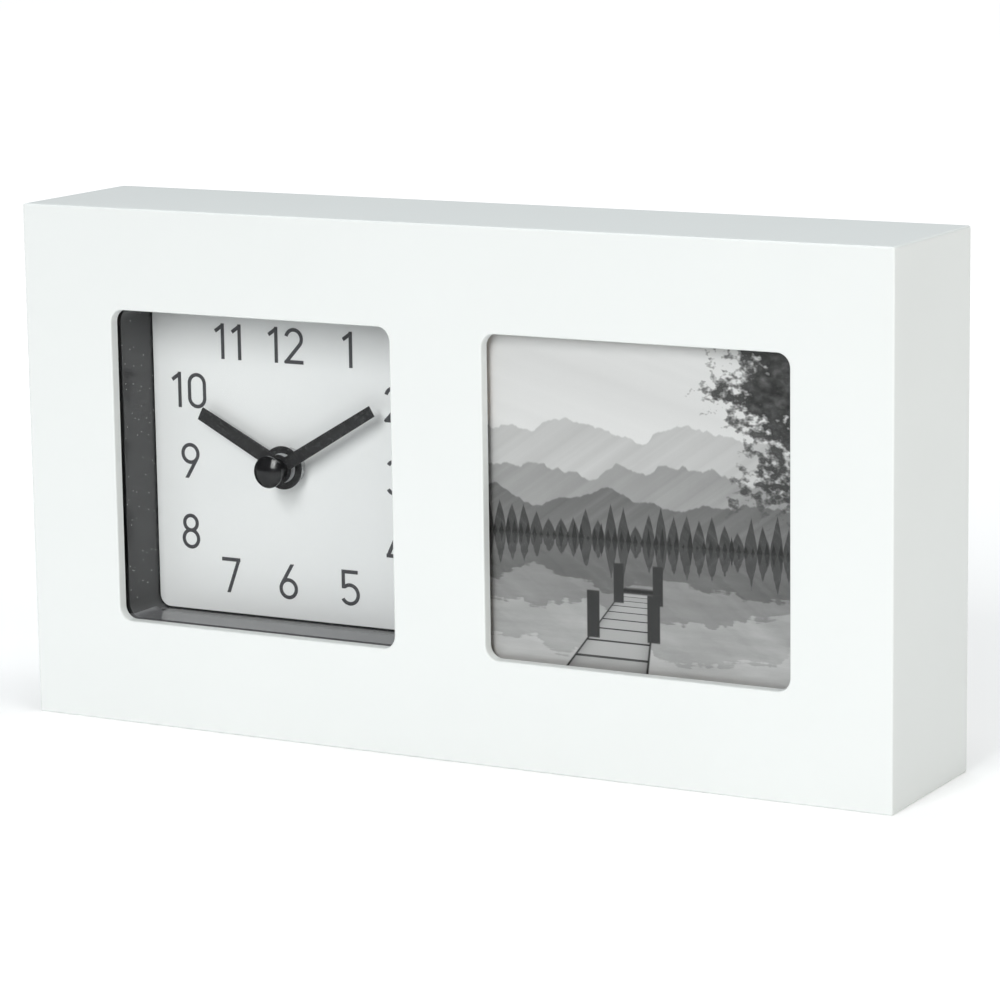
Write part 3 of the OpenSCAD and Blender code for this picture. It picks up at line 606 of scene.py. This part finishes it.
def lake_view(recipe, u, v, where):
    """Tone of the water: the far view upside down, broken by ripples."""
    deep = SHORE - v
    ripple = recipe.noise(where, 1.6 * MM, 3.0) - 0.5
    mirrored = 2 * SHORE - v + ripple * (0.05 + 0.16 * deep)
    tone = far_view(recipe, u, mirrored) * 0.72 + 0.1
    streak = recipe.noise(where, 5 * MM, 4.0, 0.6) - 0.5
    return tone + streak * 0.22 * (0.4 + deep)


def jetty_line(near):
    """How far right the jetty's middle is, at 0 by the shore to 1 at its foot."""
    return 0.1 - 0.42 * near


def jetty(recipe, u, v, tone):
    """Lays a plank jetty with posts over the water, running away from the viewer."""
    drop, spread = SHORE - JETTY_FOOT, 0.3
    planks, gap = 4.2, 0.12
    near = (SHORE - v) / drop
    offset = abs(u - jetty_line(near))
    half = spread * near + 0.012
    body = (half - offset).edge(110) * (near - JETTY_POSTS[0]).edge(60)
    place = planks / near.largest(0.05)
    wood = 0.64 + 0.06 * recipe.chance(place.floor())
    wood = wood - 0.42 * (place.fraction() < gap) - 0.12 * ((offset / half) ** 6)
    skirt = (half * 1.05 - offset).edge(110) * (near - 0.27).edge(60)
    tone = 0.14 * skirt + tone * (1 - skirt)
    tone = wood.over(tone, body)
    for share in JETTY_POSTS:
        thick, reach = 0.02 + 0.035 * share, spread * share + 0.03
        foot = SHORE - drop * (share + 0.06)
        top = foot + 0.16 + 0.2 * share
        for side in (-1, 1):
            post = (thick - abs(u - (jetty_line(share) + side * reach))).edge(140)
            post = post * (v - foot).edge(120) * (top - v).edge(120)
            tone = 0.2 * post + tone * (1 - post)
    return tone


def foliage(recipe, u, v, tone):
    """Dark leaves that hang into the upper right corner, out of focus."""
    lean = recipe.place(PICTURE, (1, 1, 1.35))
    clump = recipe.noise(lean, 2.4 * MM, 2.0, 0.6) - 0.5
    drift = recipe.noise(lean, 13 * MM, 3.0) - 0.5
    across, up = u - LEAVES[0], v - LEAVES[1]
    reach = (across * across * 1.5 + up * up * 0.55) ** 0.5
    leaf = (0.72 - reach + drift * 0.9 + clump * 1.1).edge(5)
    return (0.24 + 0.5 * clump).over(tone, leaf)


def picture_print():
    """Satin black-and-white print of a lake, with fine grain."""
    recipe = Recipe("picture_print", IOR=1.45)
    low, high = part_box("photo_print")
    half = (high - low) / 2
    stretch = (1 / half.x, 1, 1 / half.z)
    u, _, v = recipe.axes(recipe.place(PICTURE, stretch))
    lying = recipe.place(PICTURE, (0.22, 0.001, 1.6))
    land = far_view(recipe, u, v)
    tone = lake_view(recipe, u, v, lying).over(land, (SHORE - v).edge(140))
    tone = jetty(recipe, u, v, tone)
    tone = foliage(recipe, u, v, tone)
    grain = recipe.noise(recipe.place(), 0.16 * MM, 2.0) - 0.5
    tone = (tone + grain * 0.07).clamp()
    recipe.set("Base Color", tone ** 2.2)
    recipe.set("Roughness", 0.34 + 0.1 * grain)
    return recipe.material


# Modelling tools

def add_object(name, data):
    """A new object in the scene."""
    made = bpy.data.objects.new(name, data)
    bpy.context.scene.collection.objects.link(made)
    return made


def mesh_object(name, bm):
    """A new object from a bmesh, which it uses up."""
    mesh = bpy.data.meshes.new(name)
    bm.to_mesh(mesh)
    bm.free()
    return add_object(name, mesh)


def flat_to_front(bm, verts, x, z, y):
    """Stands a flat shape from the ground plane up in the plane of the front."""
    upright = Matrix.Rotation(math.pi / 2, 3, "X")
    bmesh.ops.rotate(bm, verts=verts, cent=(0, 0, 0), matrix=upright)
    bmesh.ops.translate(bm, verts=verts, vec=(x, y, z))


def rounded_loop(bm, width, height, radius, x, z, y):
    """The closed edge loop of a rounded rectangle, seen from the front."""
    known = set(bm.verts)
    made = bmesh.ops.create_grid(bm, x_segments=1, y_segments=1, size=0.5)
    bmesh.ops.scale(bm, verts=made["verts"], vec=(width, height, 1))
    if radius > TINY:
        bmesh.ops.bevel(
            bm, geom=made["verts"], offset=radius, offset_type="OFFSET", affect="VERTICES",
            segments=sizes().corner_steps, profile=0.5, material=-1)
    verts = [v for v in bm.verts if v not in known]
    flat_to_front(bm, verts, x, z, y)
    faces = list({f for v in verts for f in v.link_faces})
    edges = list({e for f in faces for e in f.edges})
    bmesh.ops.delete(bm, geom=faces, context="FACES_ONLY")
    return edges


def circle_loop(bm, radius, x, z, y):
    """The closed edge loop of a circle, seen from the front."""
    made = bmesh.ops.create_circle(
        bm, cap_ends=False, segments=sizes().spin_steps, radius=radius)
    flat_to_front(bm, made["verts"], x, z, y)
    return list({e for v in made["verts"] for e in v.link_edges})


def wall(bm, loop, depth):
    """Draws a loop out to another depth, and gives the loop at its end."""
    here = loop[0].verts[0].co.y
    made = bmesh.ops.extrude_edge_only(bm, edges=loop)["geom"]
    verts = [g for g in made if isinstance(g, bmesh.types.BMVert)]
    bmesh.ops.translate(bm, verts=verts, vec=(0, depth - here, 0))
    ends = set(verts)
    return [g for g in made if isinstance(g, bmesh.types.BMEdge) and ends.issuperset(g.verts)]


def fill(bm, *loops):
    """Fills the flat shape between an outer loop and its holes."""
    edges = [e for loop in loops for e in loop]
    made = bmesh.ops.triangle_fill(bm, use_beauty=True, edges=edges, normal=(0, -1, 0))
    return [g for g in made["geom"] if isinstance(g, bmesh.types.BMFace)]


def creases(bm, wanted):
    """The creases for which a test of their middle and direction holds."""
    found = []
    for edge in bm.edges:
        if len(edge.link_faces) == 2 and edge.calc_face_angle(0) > CREASE_ANGLE:
            start, end = (v.co for v in edge.verts)
            if wanted((start + end) / 2, (end - start).normalized()):
                found.append(edge)
    return found


def soften(bm, edges, radius, steps=3):
    """Rounds edges over."""
    bmesh.ops.bevel(
        bm, geom=edges, offset=radius, offset_type="OFFSET", affect="EDGES",
        segments=steps, profile=0.5, clamp_overlap=True, material=-1)


def finish_piece(name, bm, node, finishes, pick=None):
    """Makes the object, paints its faces, and puts it in the place of its CAD node."""
    for edge in bm.edges:
        angle = edge.calc_face_angle(0) if len(edge.link_faces) == 2 else math.pi
        edge.smooth = angle < SHARP_ANGLE
    for face in bm.faces:
        face.smooth = True
        face.material_index = pick(face) if pick else 0
    piece = mesh_object(name, bm)
    for finish in finishes:
        piece.data.materials.append(material(finish))
    weigh(piece)
    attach(piece, body_of(node))
    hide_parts(node)


def weigh(piece):
    """Keeps large flats flat where they meet small roundings."""
    weighted = piece.modifiers.new("weighted", "WEIGHTED_NORMAL")
    weighted.keep_sharp = True
    weighted.weight = 80


def body_of(node):
    """The body that a CAD node rides on."""
    for body, nodes in frame["record"]["behaviour"]["bodies"].items():
        if node in nodes:
            return body
    raise ValueError(f"no body holds {node}")


def spun(name, profile, node, finishes):
    """A piece turned round the axis of the hands from a closed (radius, depth) outline."""
    bm = bmesh.new()
    verts = [bm.verts.new((AXIS.x + r, y, AXIS.z)) for r, y in profile]
    edges = [bm.edges.new(pair) for pair in zip(verts, verts[1:] + verts[:1])]
    on_axis = [e for e in edges if all(v.co.x - AXIS.x < TINY for v in e.verts)]
    edges = [e for e in edges if e not in on_axis]
    bmesh.ops.delete(bm, geom=on_axis, context="EDGES")
    bmesh.ops.spin(
        bm, geom=verts + edges, cent=AXIS, axis=(0, 1, 0), angle=2 * math.pi,
        steps=sizes().spin_steps, use_merge=True)
    bmesh.ops.remove_doubles(bm, verts=bm.verts, dist=TINY)
    bmesh.ops.recalc_face_normals(bm, faces=bm.faces)
    finish_piece(name, bm, node, finishes)


def box_mesh(node):
    """A bmesh cuboid that fills a CAD node's box."""
    low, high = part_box(node)
    bm = bmesh.new()
    made = bmesh.ops.create_cube(bm, size=1)
    bmesh.ops.scale(bm, verts=made["verts"], vec=high - low)
    bmesh.ops.translate(bm, verts=made["verts"], vec=middle(node))
    return bm


# The white box

BOARD_FINISHES = (white_paint, raw_board)
PAINTED, BARE = range(2)

# Least share of a face's normal, and of an edge, along the depth to run front to back
FACE_TURNED, EDGE_TURNED = 0.7, 0.9


def border_distances(point, low, high):
    """Distances from a box's nearer side and from its nearer end, seen from the front."""
    across = min(abs(point.x - low.x), abs(point.x - high.x))
    upward = min(abs(point.z - low.z), abs(point.z - high.z))
    return across, upward


def runs_back(along):
    """Whether an edge runs from the front to the back."""
    return abs(along.y) > EDGE_TURNED


def outside(face):
    """Paint on the outside of the box and on its back edges, bare board inside."""
    centre, normal = face.calc_center_median(), face.normal
    if abs(normal.y) > FACE_TURNED:
        faces_out = centre.y < FRONT + MM or centre.y > cad_box[1].y - MM
        return PAINTED if faces_out else BARE
    outward = min(border_distances(centre, *cad_box)) < MM
    in_window = centre.y < PANEL_BACK + TINY
    return PAINTED if outward or in_window else BARE


def front_board():
    """The front panel with its two round-cornered windows and softened edges."""
    low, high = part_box("front_panel")
    centre = middle("front_panel")
    bm = bmesh.new()
    border = rounded_loop(bm, *breadth("front_panel"), 0, centre.x, centre.z, low.y)
    corner = sizes().window_corner
    windows = [
        rounded_loop(bm, *window_size(), corner, x, AXIS.z, low.y) for x in (AXIS.x, PICTURE.x)]
    faces = fill(bm, border, *windows)
    grown = bmesh.ops.extrude_face_region(bm, geom=faces, use_keep_orig=True)
    moved = [g for g in grown["geom"] if isinstance(g, bmesh.types.BMVert)]
    bmesh.ops.translate(bm, verts=moved, vec=(0, high.y - low.y, 0))
    bmesh.ops.recalc_face_normals(bm, faces=bm.faces)

    def at_rim(point, _):
        return min(border_distances(point, low, high)) > MM and point.y < low.y + TINY

    def at_border(point, along):
        side, end = (d < TINY for d in border_distances(point, low, high))
        if runs_back(along):
            return side and end
        return point.y < low.y + TINY and (side or end)

    soften(bm, creases(bm, at_rim), sizes().window_round)
    soften(bm, creases(bm, at_border), sizes().edge_round)
    finish_piece("front_board", bm, "front_panel", BOARD_FINISHES, outside)


def window_size():
    """Width and height of a window: the dial's, with the gap round it."""
    dial_gap = 0.3 * MM
    width, height = breadth("dial_plate")
    return width + 2 * dial_gap, height + 2 * dial_gap


def rail_board(node, name):
    """One rail of the box: rounded on the outside and softened round the back."""
    bm = box_mesh(node)

    def outer(point, _):
        side, end = (d < TINY for d in border_distances(point, *cad_box))
        back = abs(point.y - cad_box[1].y) < TINY
        return (side and end) or (back and (side or end))

    soften(bm, creases(bm, outer), sizes().edge_round)
    finish_piece(name, bm, node, BOARD_FINISHES, outside)


# The recess, the hub and the picture's pocket

def recess_tray():
    """The black tray: flange, rebate for the pane, walls, floor and hole, as one skin."""
    low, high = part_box("clock_tray")
    width, height = window_size()
    corner = sizes().window_corner
    wall_t, rebate = 1.5 * MM, 4.15 * MM
    lip, lip_round = (breadth("clock_tray")[0] - width) / 2, 2 * MM
    screw_head, hole_radius = 1.2 * MM, 3.25 * MM
    flange_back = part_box("tray_screws")[1].y - screw_head
    mouth_round, foot_round = 0.15 * MM, 1 * MM
    x, z = AXIS.x, AXIS.z
    bm = bmesh.new()

    def loop(extra, radius, y):
        return rounded_loop(bm, width + 2 * extra, height + 2 * extra, radius, x, z, y)

    flange = loop(lip, corner + lip_round, low.y)
    seat = loop(rebate, corner, low.y)
    fill(bm, flange, seat)
    seat = wall(bm, seat, PANE_BACK)
    window = loop(0, corner, PANE_BACK)
    fill(bm, seat, window)
    hole = circle_loop(bm, hole_radius, x, z, DIAL_BACK)
    fill(bm, wall(bm, window, DIAL_BACK), hole)
    shell = loop(wall_t, corner + wall_t, high.y)
    fill(bm, shell, wall(bm, hole, high.y))
    fill(bm, wall(bm, flange, flange_back), wall(bm, shell, flange_back))
    bmesh.ops.recalc_face_normals(bm, faces=bm.faces)

    def mouth(point, _):
        return abs(point.y - PANE_BACK) < TINY and abs(point.x - x) < width / 2 + MM

    def outer_foot(point, _):
        off_axis = math.hypot(point.x - x, point.z - z)
        return abs(point.y - high.y) < TINY and off_axis > 3 * hole_radius

    soften(bm, creases(bm, mouth), mouth_round, 2)
    soften(bm, creases(bm, outer_foot), foot_round, 4)
    finish_piece("recess_tray", bm, "clock_tray", [recess_plastic])


def hub_dome():
    """The glossy cap: a domed head on a neck, bored for the minute pipe."""
    low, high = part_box("hub_cap")
    radius = breadth("hub_cap")[0] / 2
    bore, bore_depth = 1.5 * MM, 0.95 * MM
    neck, neck_long = 2.6 * MM, 3 * MM
    rim, back_round, steps = 0.7 * MM, 0.2 * MM, 14
    back_cut = 0.3 * back_round
    head_back = high.y - neck_long
    rise = head_back - rim - low.y
    dome = (radius * radius + rise * rise) / (2 * rise)
    reach = math.asin(radius / dome)
    outline = []
    for i in range(steps + 1):
        angle = reach * i / steps
        outline.append((dome * math.sin(angle), low.y + dome - dome * math.cos(angle)))
    outline += [
        (radius, head_back - back_round), (radius - back_cut, head_back - back_cut),
        (radius - back_round, head_back), (neck, head_back), (neck, high.y),
        (bore, high.y), (bore, high.y - bore_depth), (0, high.y - bore_depth)]
    spun("hub_dome", outline, "hub_cap", [cap_gloss])


def picture_pocket():
    """The pocket frame of bare board round the picture."""
    low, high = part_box("photo_pocket")
    board_gap = 0.4 * MM
    outer_corner, inner_corner, rim_round = 3 * MM, 0.3 * MM, 0.3 * MM
    opening = [size + 2 * board_gap for size in breadth("backing_board")]
    x, z = PICTURE.x, PICTURE.z
    bm = bmesh.new()
    outer = rounded_loop(bm, *breadth("photo_pocket"), outer_corner, x, z, low.y)
    inner = rounded_loop(bm, *opening, inner_corner, x, z, low.y)
    fill(bm, outer, inner)
    fill(bm, wall(bm, outer, high.y), wall(bm, inner, high.y))
    bmesh.ops.recalc_face_normals(bm, faces=bm.faces)

    def back_rim(point, _):
        return abs(point.y - high.y) < TINY

    soften(bm, creases(bm, back_rim), rim_round, 2)
    finish_piece("picture_pocket", bm, "photo_pocket", [raw_board])


def backing():
    """The hardboard back of the picture, with softened edges."""
    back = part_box("backing_board")[1].y
    corner_round, back_round = 1 * MM, 0.25 * MM
    bm = box_mesh("backing_board")

    def corner_edge(_, along):
        return runs_back(along)

    def back_edge(point, _):
        return abs(point.y - back) < TINY

    soften(bm, creases(bm, corner_edge), corner_round, 4)
    soften(bm, creases(bm, back_edge), back_round, 2)
    finish_piece("backing_sheet", bm, "backing_board", [hardboard])


# Finishes on the CAD nodes that keep their own shape

CAD_FINISHES = {
    bordered_pane: ("clock_pane",),
    clear_pane: ("photo_pane",),
    dial_card: ("dial_plate",),
    dial_ink: ("dial_numerals",),
    powder_black: ("hour_hand", "minute_hand", "minute_collet"),
    bright_steel: ("tray_screws", "mounting_nut", "clutch_washer", "positive_contact",
                   "negative_contact", "quartz_crystal", "pocket_screws", "turn_button_screws"),
    rolled_brass: ("threaded_bushing", "centre_wheel", "minute_arbor", "turn_button_left",
                   "turn_button_right"),
    cell_steel: ("battery_cell",),
    silicon_iron: ("stator_plate", "coil_core"),
    magnet_grey: ("rotor",),
    movement_black: ("movement_case",),
    lid_black: ("movement_back", "set_knob"),
    bridge_blue: ("gear_bridge",),
    nylon: ("coil_bobbin", "fifth_wheel", "seconds_wheel", "third_wheel", "minute_wheel",
            "hour_wheel"),
    pale_grey: ("hour_collet",),
    board_green: ("circuit_board",),
    chip_black: ("clock_chip",),
    copper_wire: ("coil_winding",),
    battery_film: ("battery_sleeve",),
    picture_print: ("photo_print",),
}

# Widths of the softened edges, in millimetres
SOFT_EDGES = {
    "hour_hand": 0.06, "minute_hand": 0.06, "mounting_nut": 0.12, "hour_collet": 0.1,
    "minute_collet": 0.06, "movement_case": 0.4, "set_knob": 0.2,
    "tray_screws": 0.15, "pocket_screws": 0.15, "turn_button_screws": 0.15,
    "turn_button_left": 0.15, "turn_button_right": 0.15, "threaded_bushing": 0.1,
}


def finish_cad():
    """Gives each CAD node its material, and softened edges where light catches them."""
    for finish, nodes in CAD_FINISHES.items():
        for node in nodes:
            piece = frame["nodes"][node]
            piece.data.materials.clear()
            piece.data.materials.append(material(finish))
    for node, radius in SOFT_EDGES.items():
        piece = frame["nodes"][node]
        weld = piece.modifiers.new("weld", "WELD")
        weld.merge_threshold = TINY
        bevel = piece.modifiers.new("soft_edges", "BEVEL")
        bevel.width = radius * MM
        bevel.segments = 2
        bevel.limit_method = "ANGLE"
        bevel.angle_limit = SHARP_ANGLE
        weigh(piece)


# Stage: floor, lights and camera. Lengths are in metres, powers in watts, angles in degrees

# The floor's own glow near and far from the clock, and how far off it is at its full
FLOOR_NEAR, FLOOR_FAR, FLOOR_REACH = 0.12, 0.86, 1.2
# Where the floor in front begins to darken, over what length, and its tones
FLOOR_TURN, FLOOR_FADE = -0.2, 0.35
FLOOR_TONE, FLOOR_DROP = 0.9, 0.4
FLOOR_HALF = 6

ROOM_TINT, ROOM_LIGHT = (0.985, 1, 1.02, 1), 0.12

# Name, place, width and height, power and colour of each softbox
SOFTBOXES = (
    ("key", (0, -1.45, 0.78), (0.5, 0.9), 14.9, (1, 1, 1)),
    ("overhead", (0, 0.1, 1.3), (1, 0.8), 10.8, (0.94, 0.98, 1)),
    ("side", (1.3, -0.5, 0.45), (0.7, 0.6), 5.4, (1, 0.97, 0.9)),
)

CAMERA_AT = (0.41258, -0.73998, 0.21275)
CAMERA_AZIMUTH, CAMERA_ELEVATION, CAMERA_ROLL = 28.89, 10.64, -0.82
CAMERA_LENS, CAMERA_SENSOR = 143.03, 36


def look(made, forward, roll=0):
    """Turns a lamp or a camera to face along a direction."""
    made.rotation_mode = "QUATERNION"
    level = forward.to_track_quat("-Z", "Y")
    made.rotation_quaternion = level @ Quaternion((0, 0, 1), roll)


def stage_floor():
    """A white floor that glows more with distance and darkens in front."""
    bm = bmesh.new()
    bmesh.ops.create_grid(bm, x_segments=1, y_segments=1, size=FLOOR_HALF)
    floor = mesh_object("floor", bm)
    recipe = Recipe("floor_white", Roughness=0.9)
    x, y, _ = recipe.axes(recipe.place())
    front = ((FLOOR_TURN - y) / FLOOR_FADE).clamp()
    recipe.set("Base Color", FLOOR_TONE - FLOOR_DROP * front)
    far = ((x * x + y * y) ** 0.5 / FLOOR_REACH).clamp()
    recipe.set("Emission Color", (FLOOR_NEAR + (FLOOR_FAR - FLOOR_NEAR) * far) * (1 - front))
    recipe.set("Emission Strength", 1)
    floor.data.materials.append(recipe.material)


def softbox(name, at, size, power, colour):
    """A rectangular light that faces the clock."""
    lamp = bpy.data.lights.new(name, "AREA")
    lamp.shape = "RECTANGLE"
    lamp.size, lamp.size_y = size
    lamp.energy = power
    lamp.color = colour
    made = add_object(name, lamp)
    made.location = at
    look(made, AXIS - Vector(at))


def lights():
    """A dim white room, a tall softbox in front, one overhead and one on the right."""
    world = bpy.data.worlds.new("studio")
    bpy.context.scene.world = world
    world.use_nodes = True
    background = world.node_tree.nodes["Background"]
    background.inputs["Color"].default_value = ROOM_TINT
    background.inputs["Strength"].default_value = ROOM_LIGHT
    for box in SOFTBOXES:
        softbox(*box)


def plain_colours():
    """Shows colours as they are, because the default view greys a white ground."""
    bpy.context.scene.view_settings.view_transform = "Standard"


def camera():
    """The photograph's view, fitted to the box's edges."""
    azimuth, elevation = math.radians(CAMERA_AZIMUTH), math.radians(CAMERA_ELEVATION)
    forward = Vector((
        -math.sin(azimuth) * math.cos(elevation),
        math.cos(azimuth) * math.cos(elevation),
        -math.sin(elevation)))
    lens = bpy.data.cameras.new("camera")
    lens.lens, lens.sensor_width = CAMERA_LENS, CAMERA_SENSOR
    lens.clip_start, lens.clip_end = 0.05, 20
    made = add_object("camera", lens)
    made.location = CAMERA_AT
    look(made, forward, math.radians(CAMERA_ROLL))
    bpy.context.scene.camera = made


# Operators

class CLOCK_OT_stage(bpy.types.Operator):
    """Make the floor, the lights and the camera"""

    bl_idname = "clock.stage"
    bl_label = "Stage"

    def execute(self, context):
        stage_floor()
        lights()
        camera()
        plain_colours()
        return {"FINISHED"}


class CLOCK_OT_box(bpy.types.Operator):
    """Make the painted box: front board and four rails"""

    bl_idname = "clock.box"
    bl_label = "White Box"

    def execute(self, context):
        front_board()
        for side in ("top", "bottom", "left", "right"):
            rail_board(side + "_rail", side + "_board")
        return {"FINISHED"}


class CLOCK_OT_recess(bpy.types.Operator):
    """Make the black recess of the clock"""

    bl_idname = "clock.recess"
    bl_label = "Recess"

    def execute(self, context):
        recess_tray()
        return {"FINISHED"}


class CLOCK_OT_hub(bpy.types.Operator):
    """Make the cap over the hands"""

    bl_idname = "clock.hub"
    bl_label = "Hub"

    def execute(self, context):
        hub_dome()
        return {"FINISHED"}


class CLOCK_OT_pocket(bpy.types.Operator):
    """Make the pocket and the backing of the picture"""

    bl_idname = "clock.pocket"
    bl_label = "Picture Pocket"

    def execute(self, context):
        picture_pocket()
        backing()
        return {"FINISHED"}


class CLOCK_OT_finishes(bpy.types.Operator):
    """Finish the pieces that keep their own shape"""

    bl_idname = "clock.finishes"
    bl_label = "Finishes"

    def execute(self, context):
        finish_cad()
        return {"FINISHED"}


STEPS = (CLOCK_OT_stage, CLOCK_OT_box, CLOCK_OT_recess, CLOCK_OT_hub, CLOCK_OT_pocket,
         CLOCK_OT_finishes)


class CLOCK_PT_panel(bpy.types.Panel):
    """Lists the sizes, the colours and the steps"""

    bl_label = "Picture Frame Clock"
    bl_idname = "CLOCK_PT_panel"
    bl_space_type = "VIEW_3D"
    bl_region_type = "UI"
    bl_category = "Clock"

    def draw(self, context):
        layout = self.layout
        for group in (context.scene.clock_sizes, context.scene.clock_colours):
            for name in group.__annotations__:
                layout.prop(group, name)
        for step in STEPS:
            layout.operator(step.bl_idname)


CLASSES = (ClockSizes, ClockColours, *STEPS, CLOCK_PT_panel)


def register():
    for cls in CLASSES:
        bpy.utils.register_class(cls)
    bpy.types.Scene.clock_sizes = PointerProperty(type=ClockSizes)
    bpy.types.Scene.clock_colours = PointerProperty(type=ClockColours)


def unregister():
    del bpy.types.Scene.clock_colours
    del bpy.types.Scene.clock_sizes
    for cls in reversed(CLASSES):
        bpy.utils.unregister_class(cls)


def main():
    register()
    for step in STEPS:
        group, name = step.bl_idname.split(".")
        getattr(getattr(bpy.ops, group), name)()


if __name__ == "__main__":
    main()
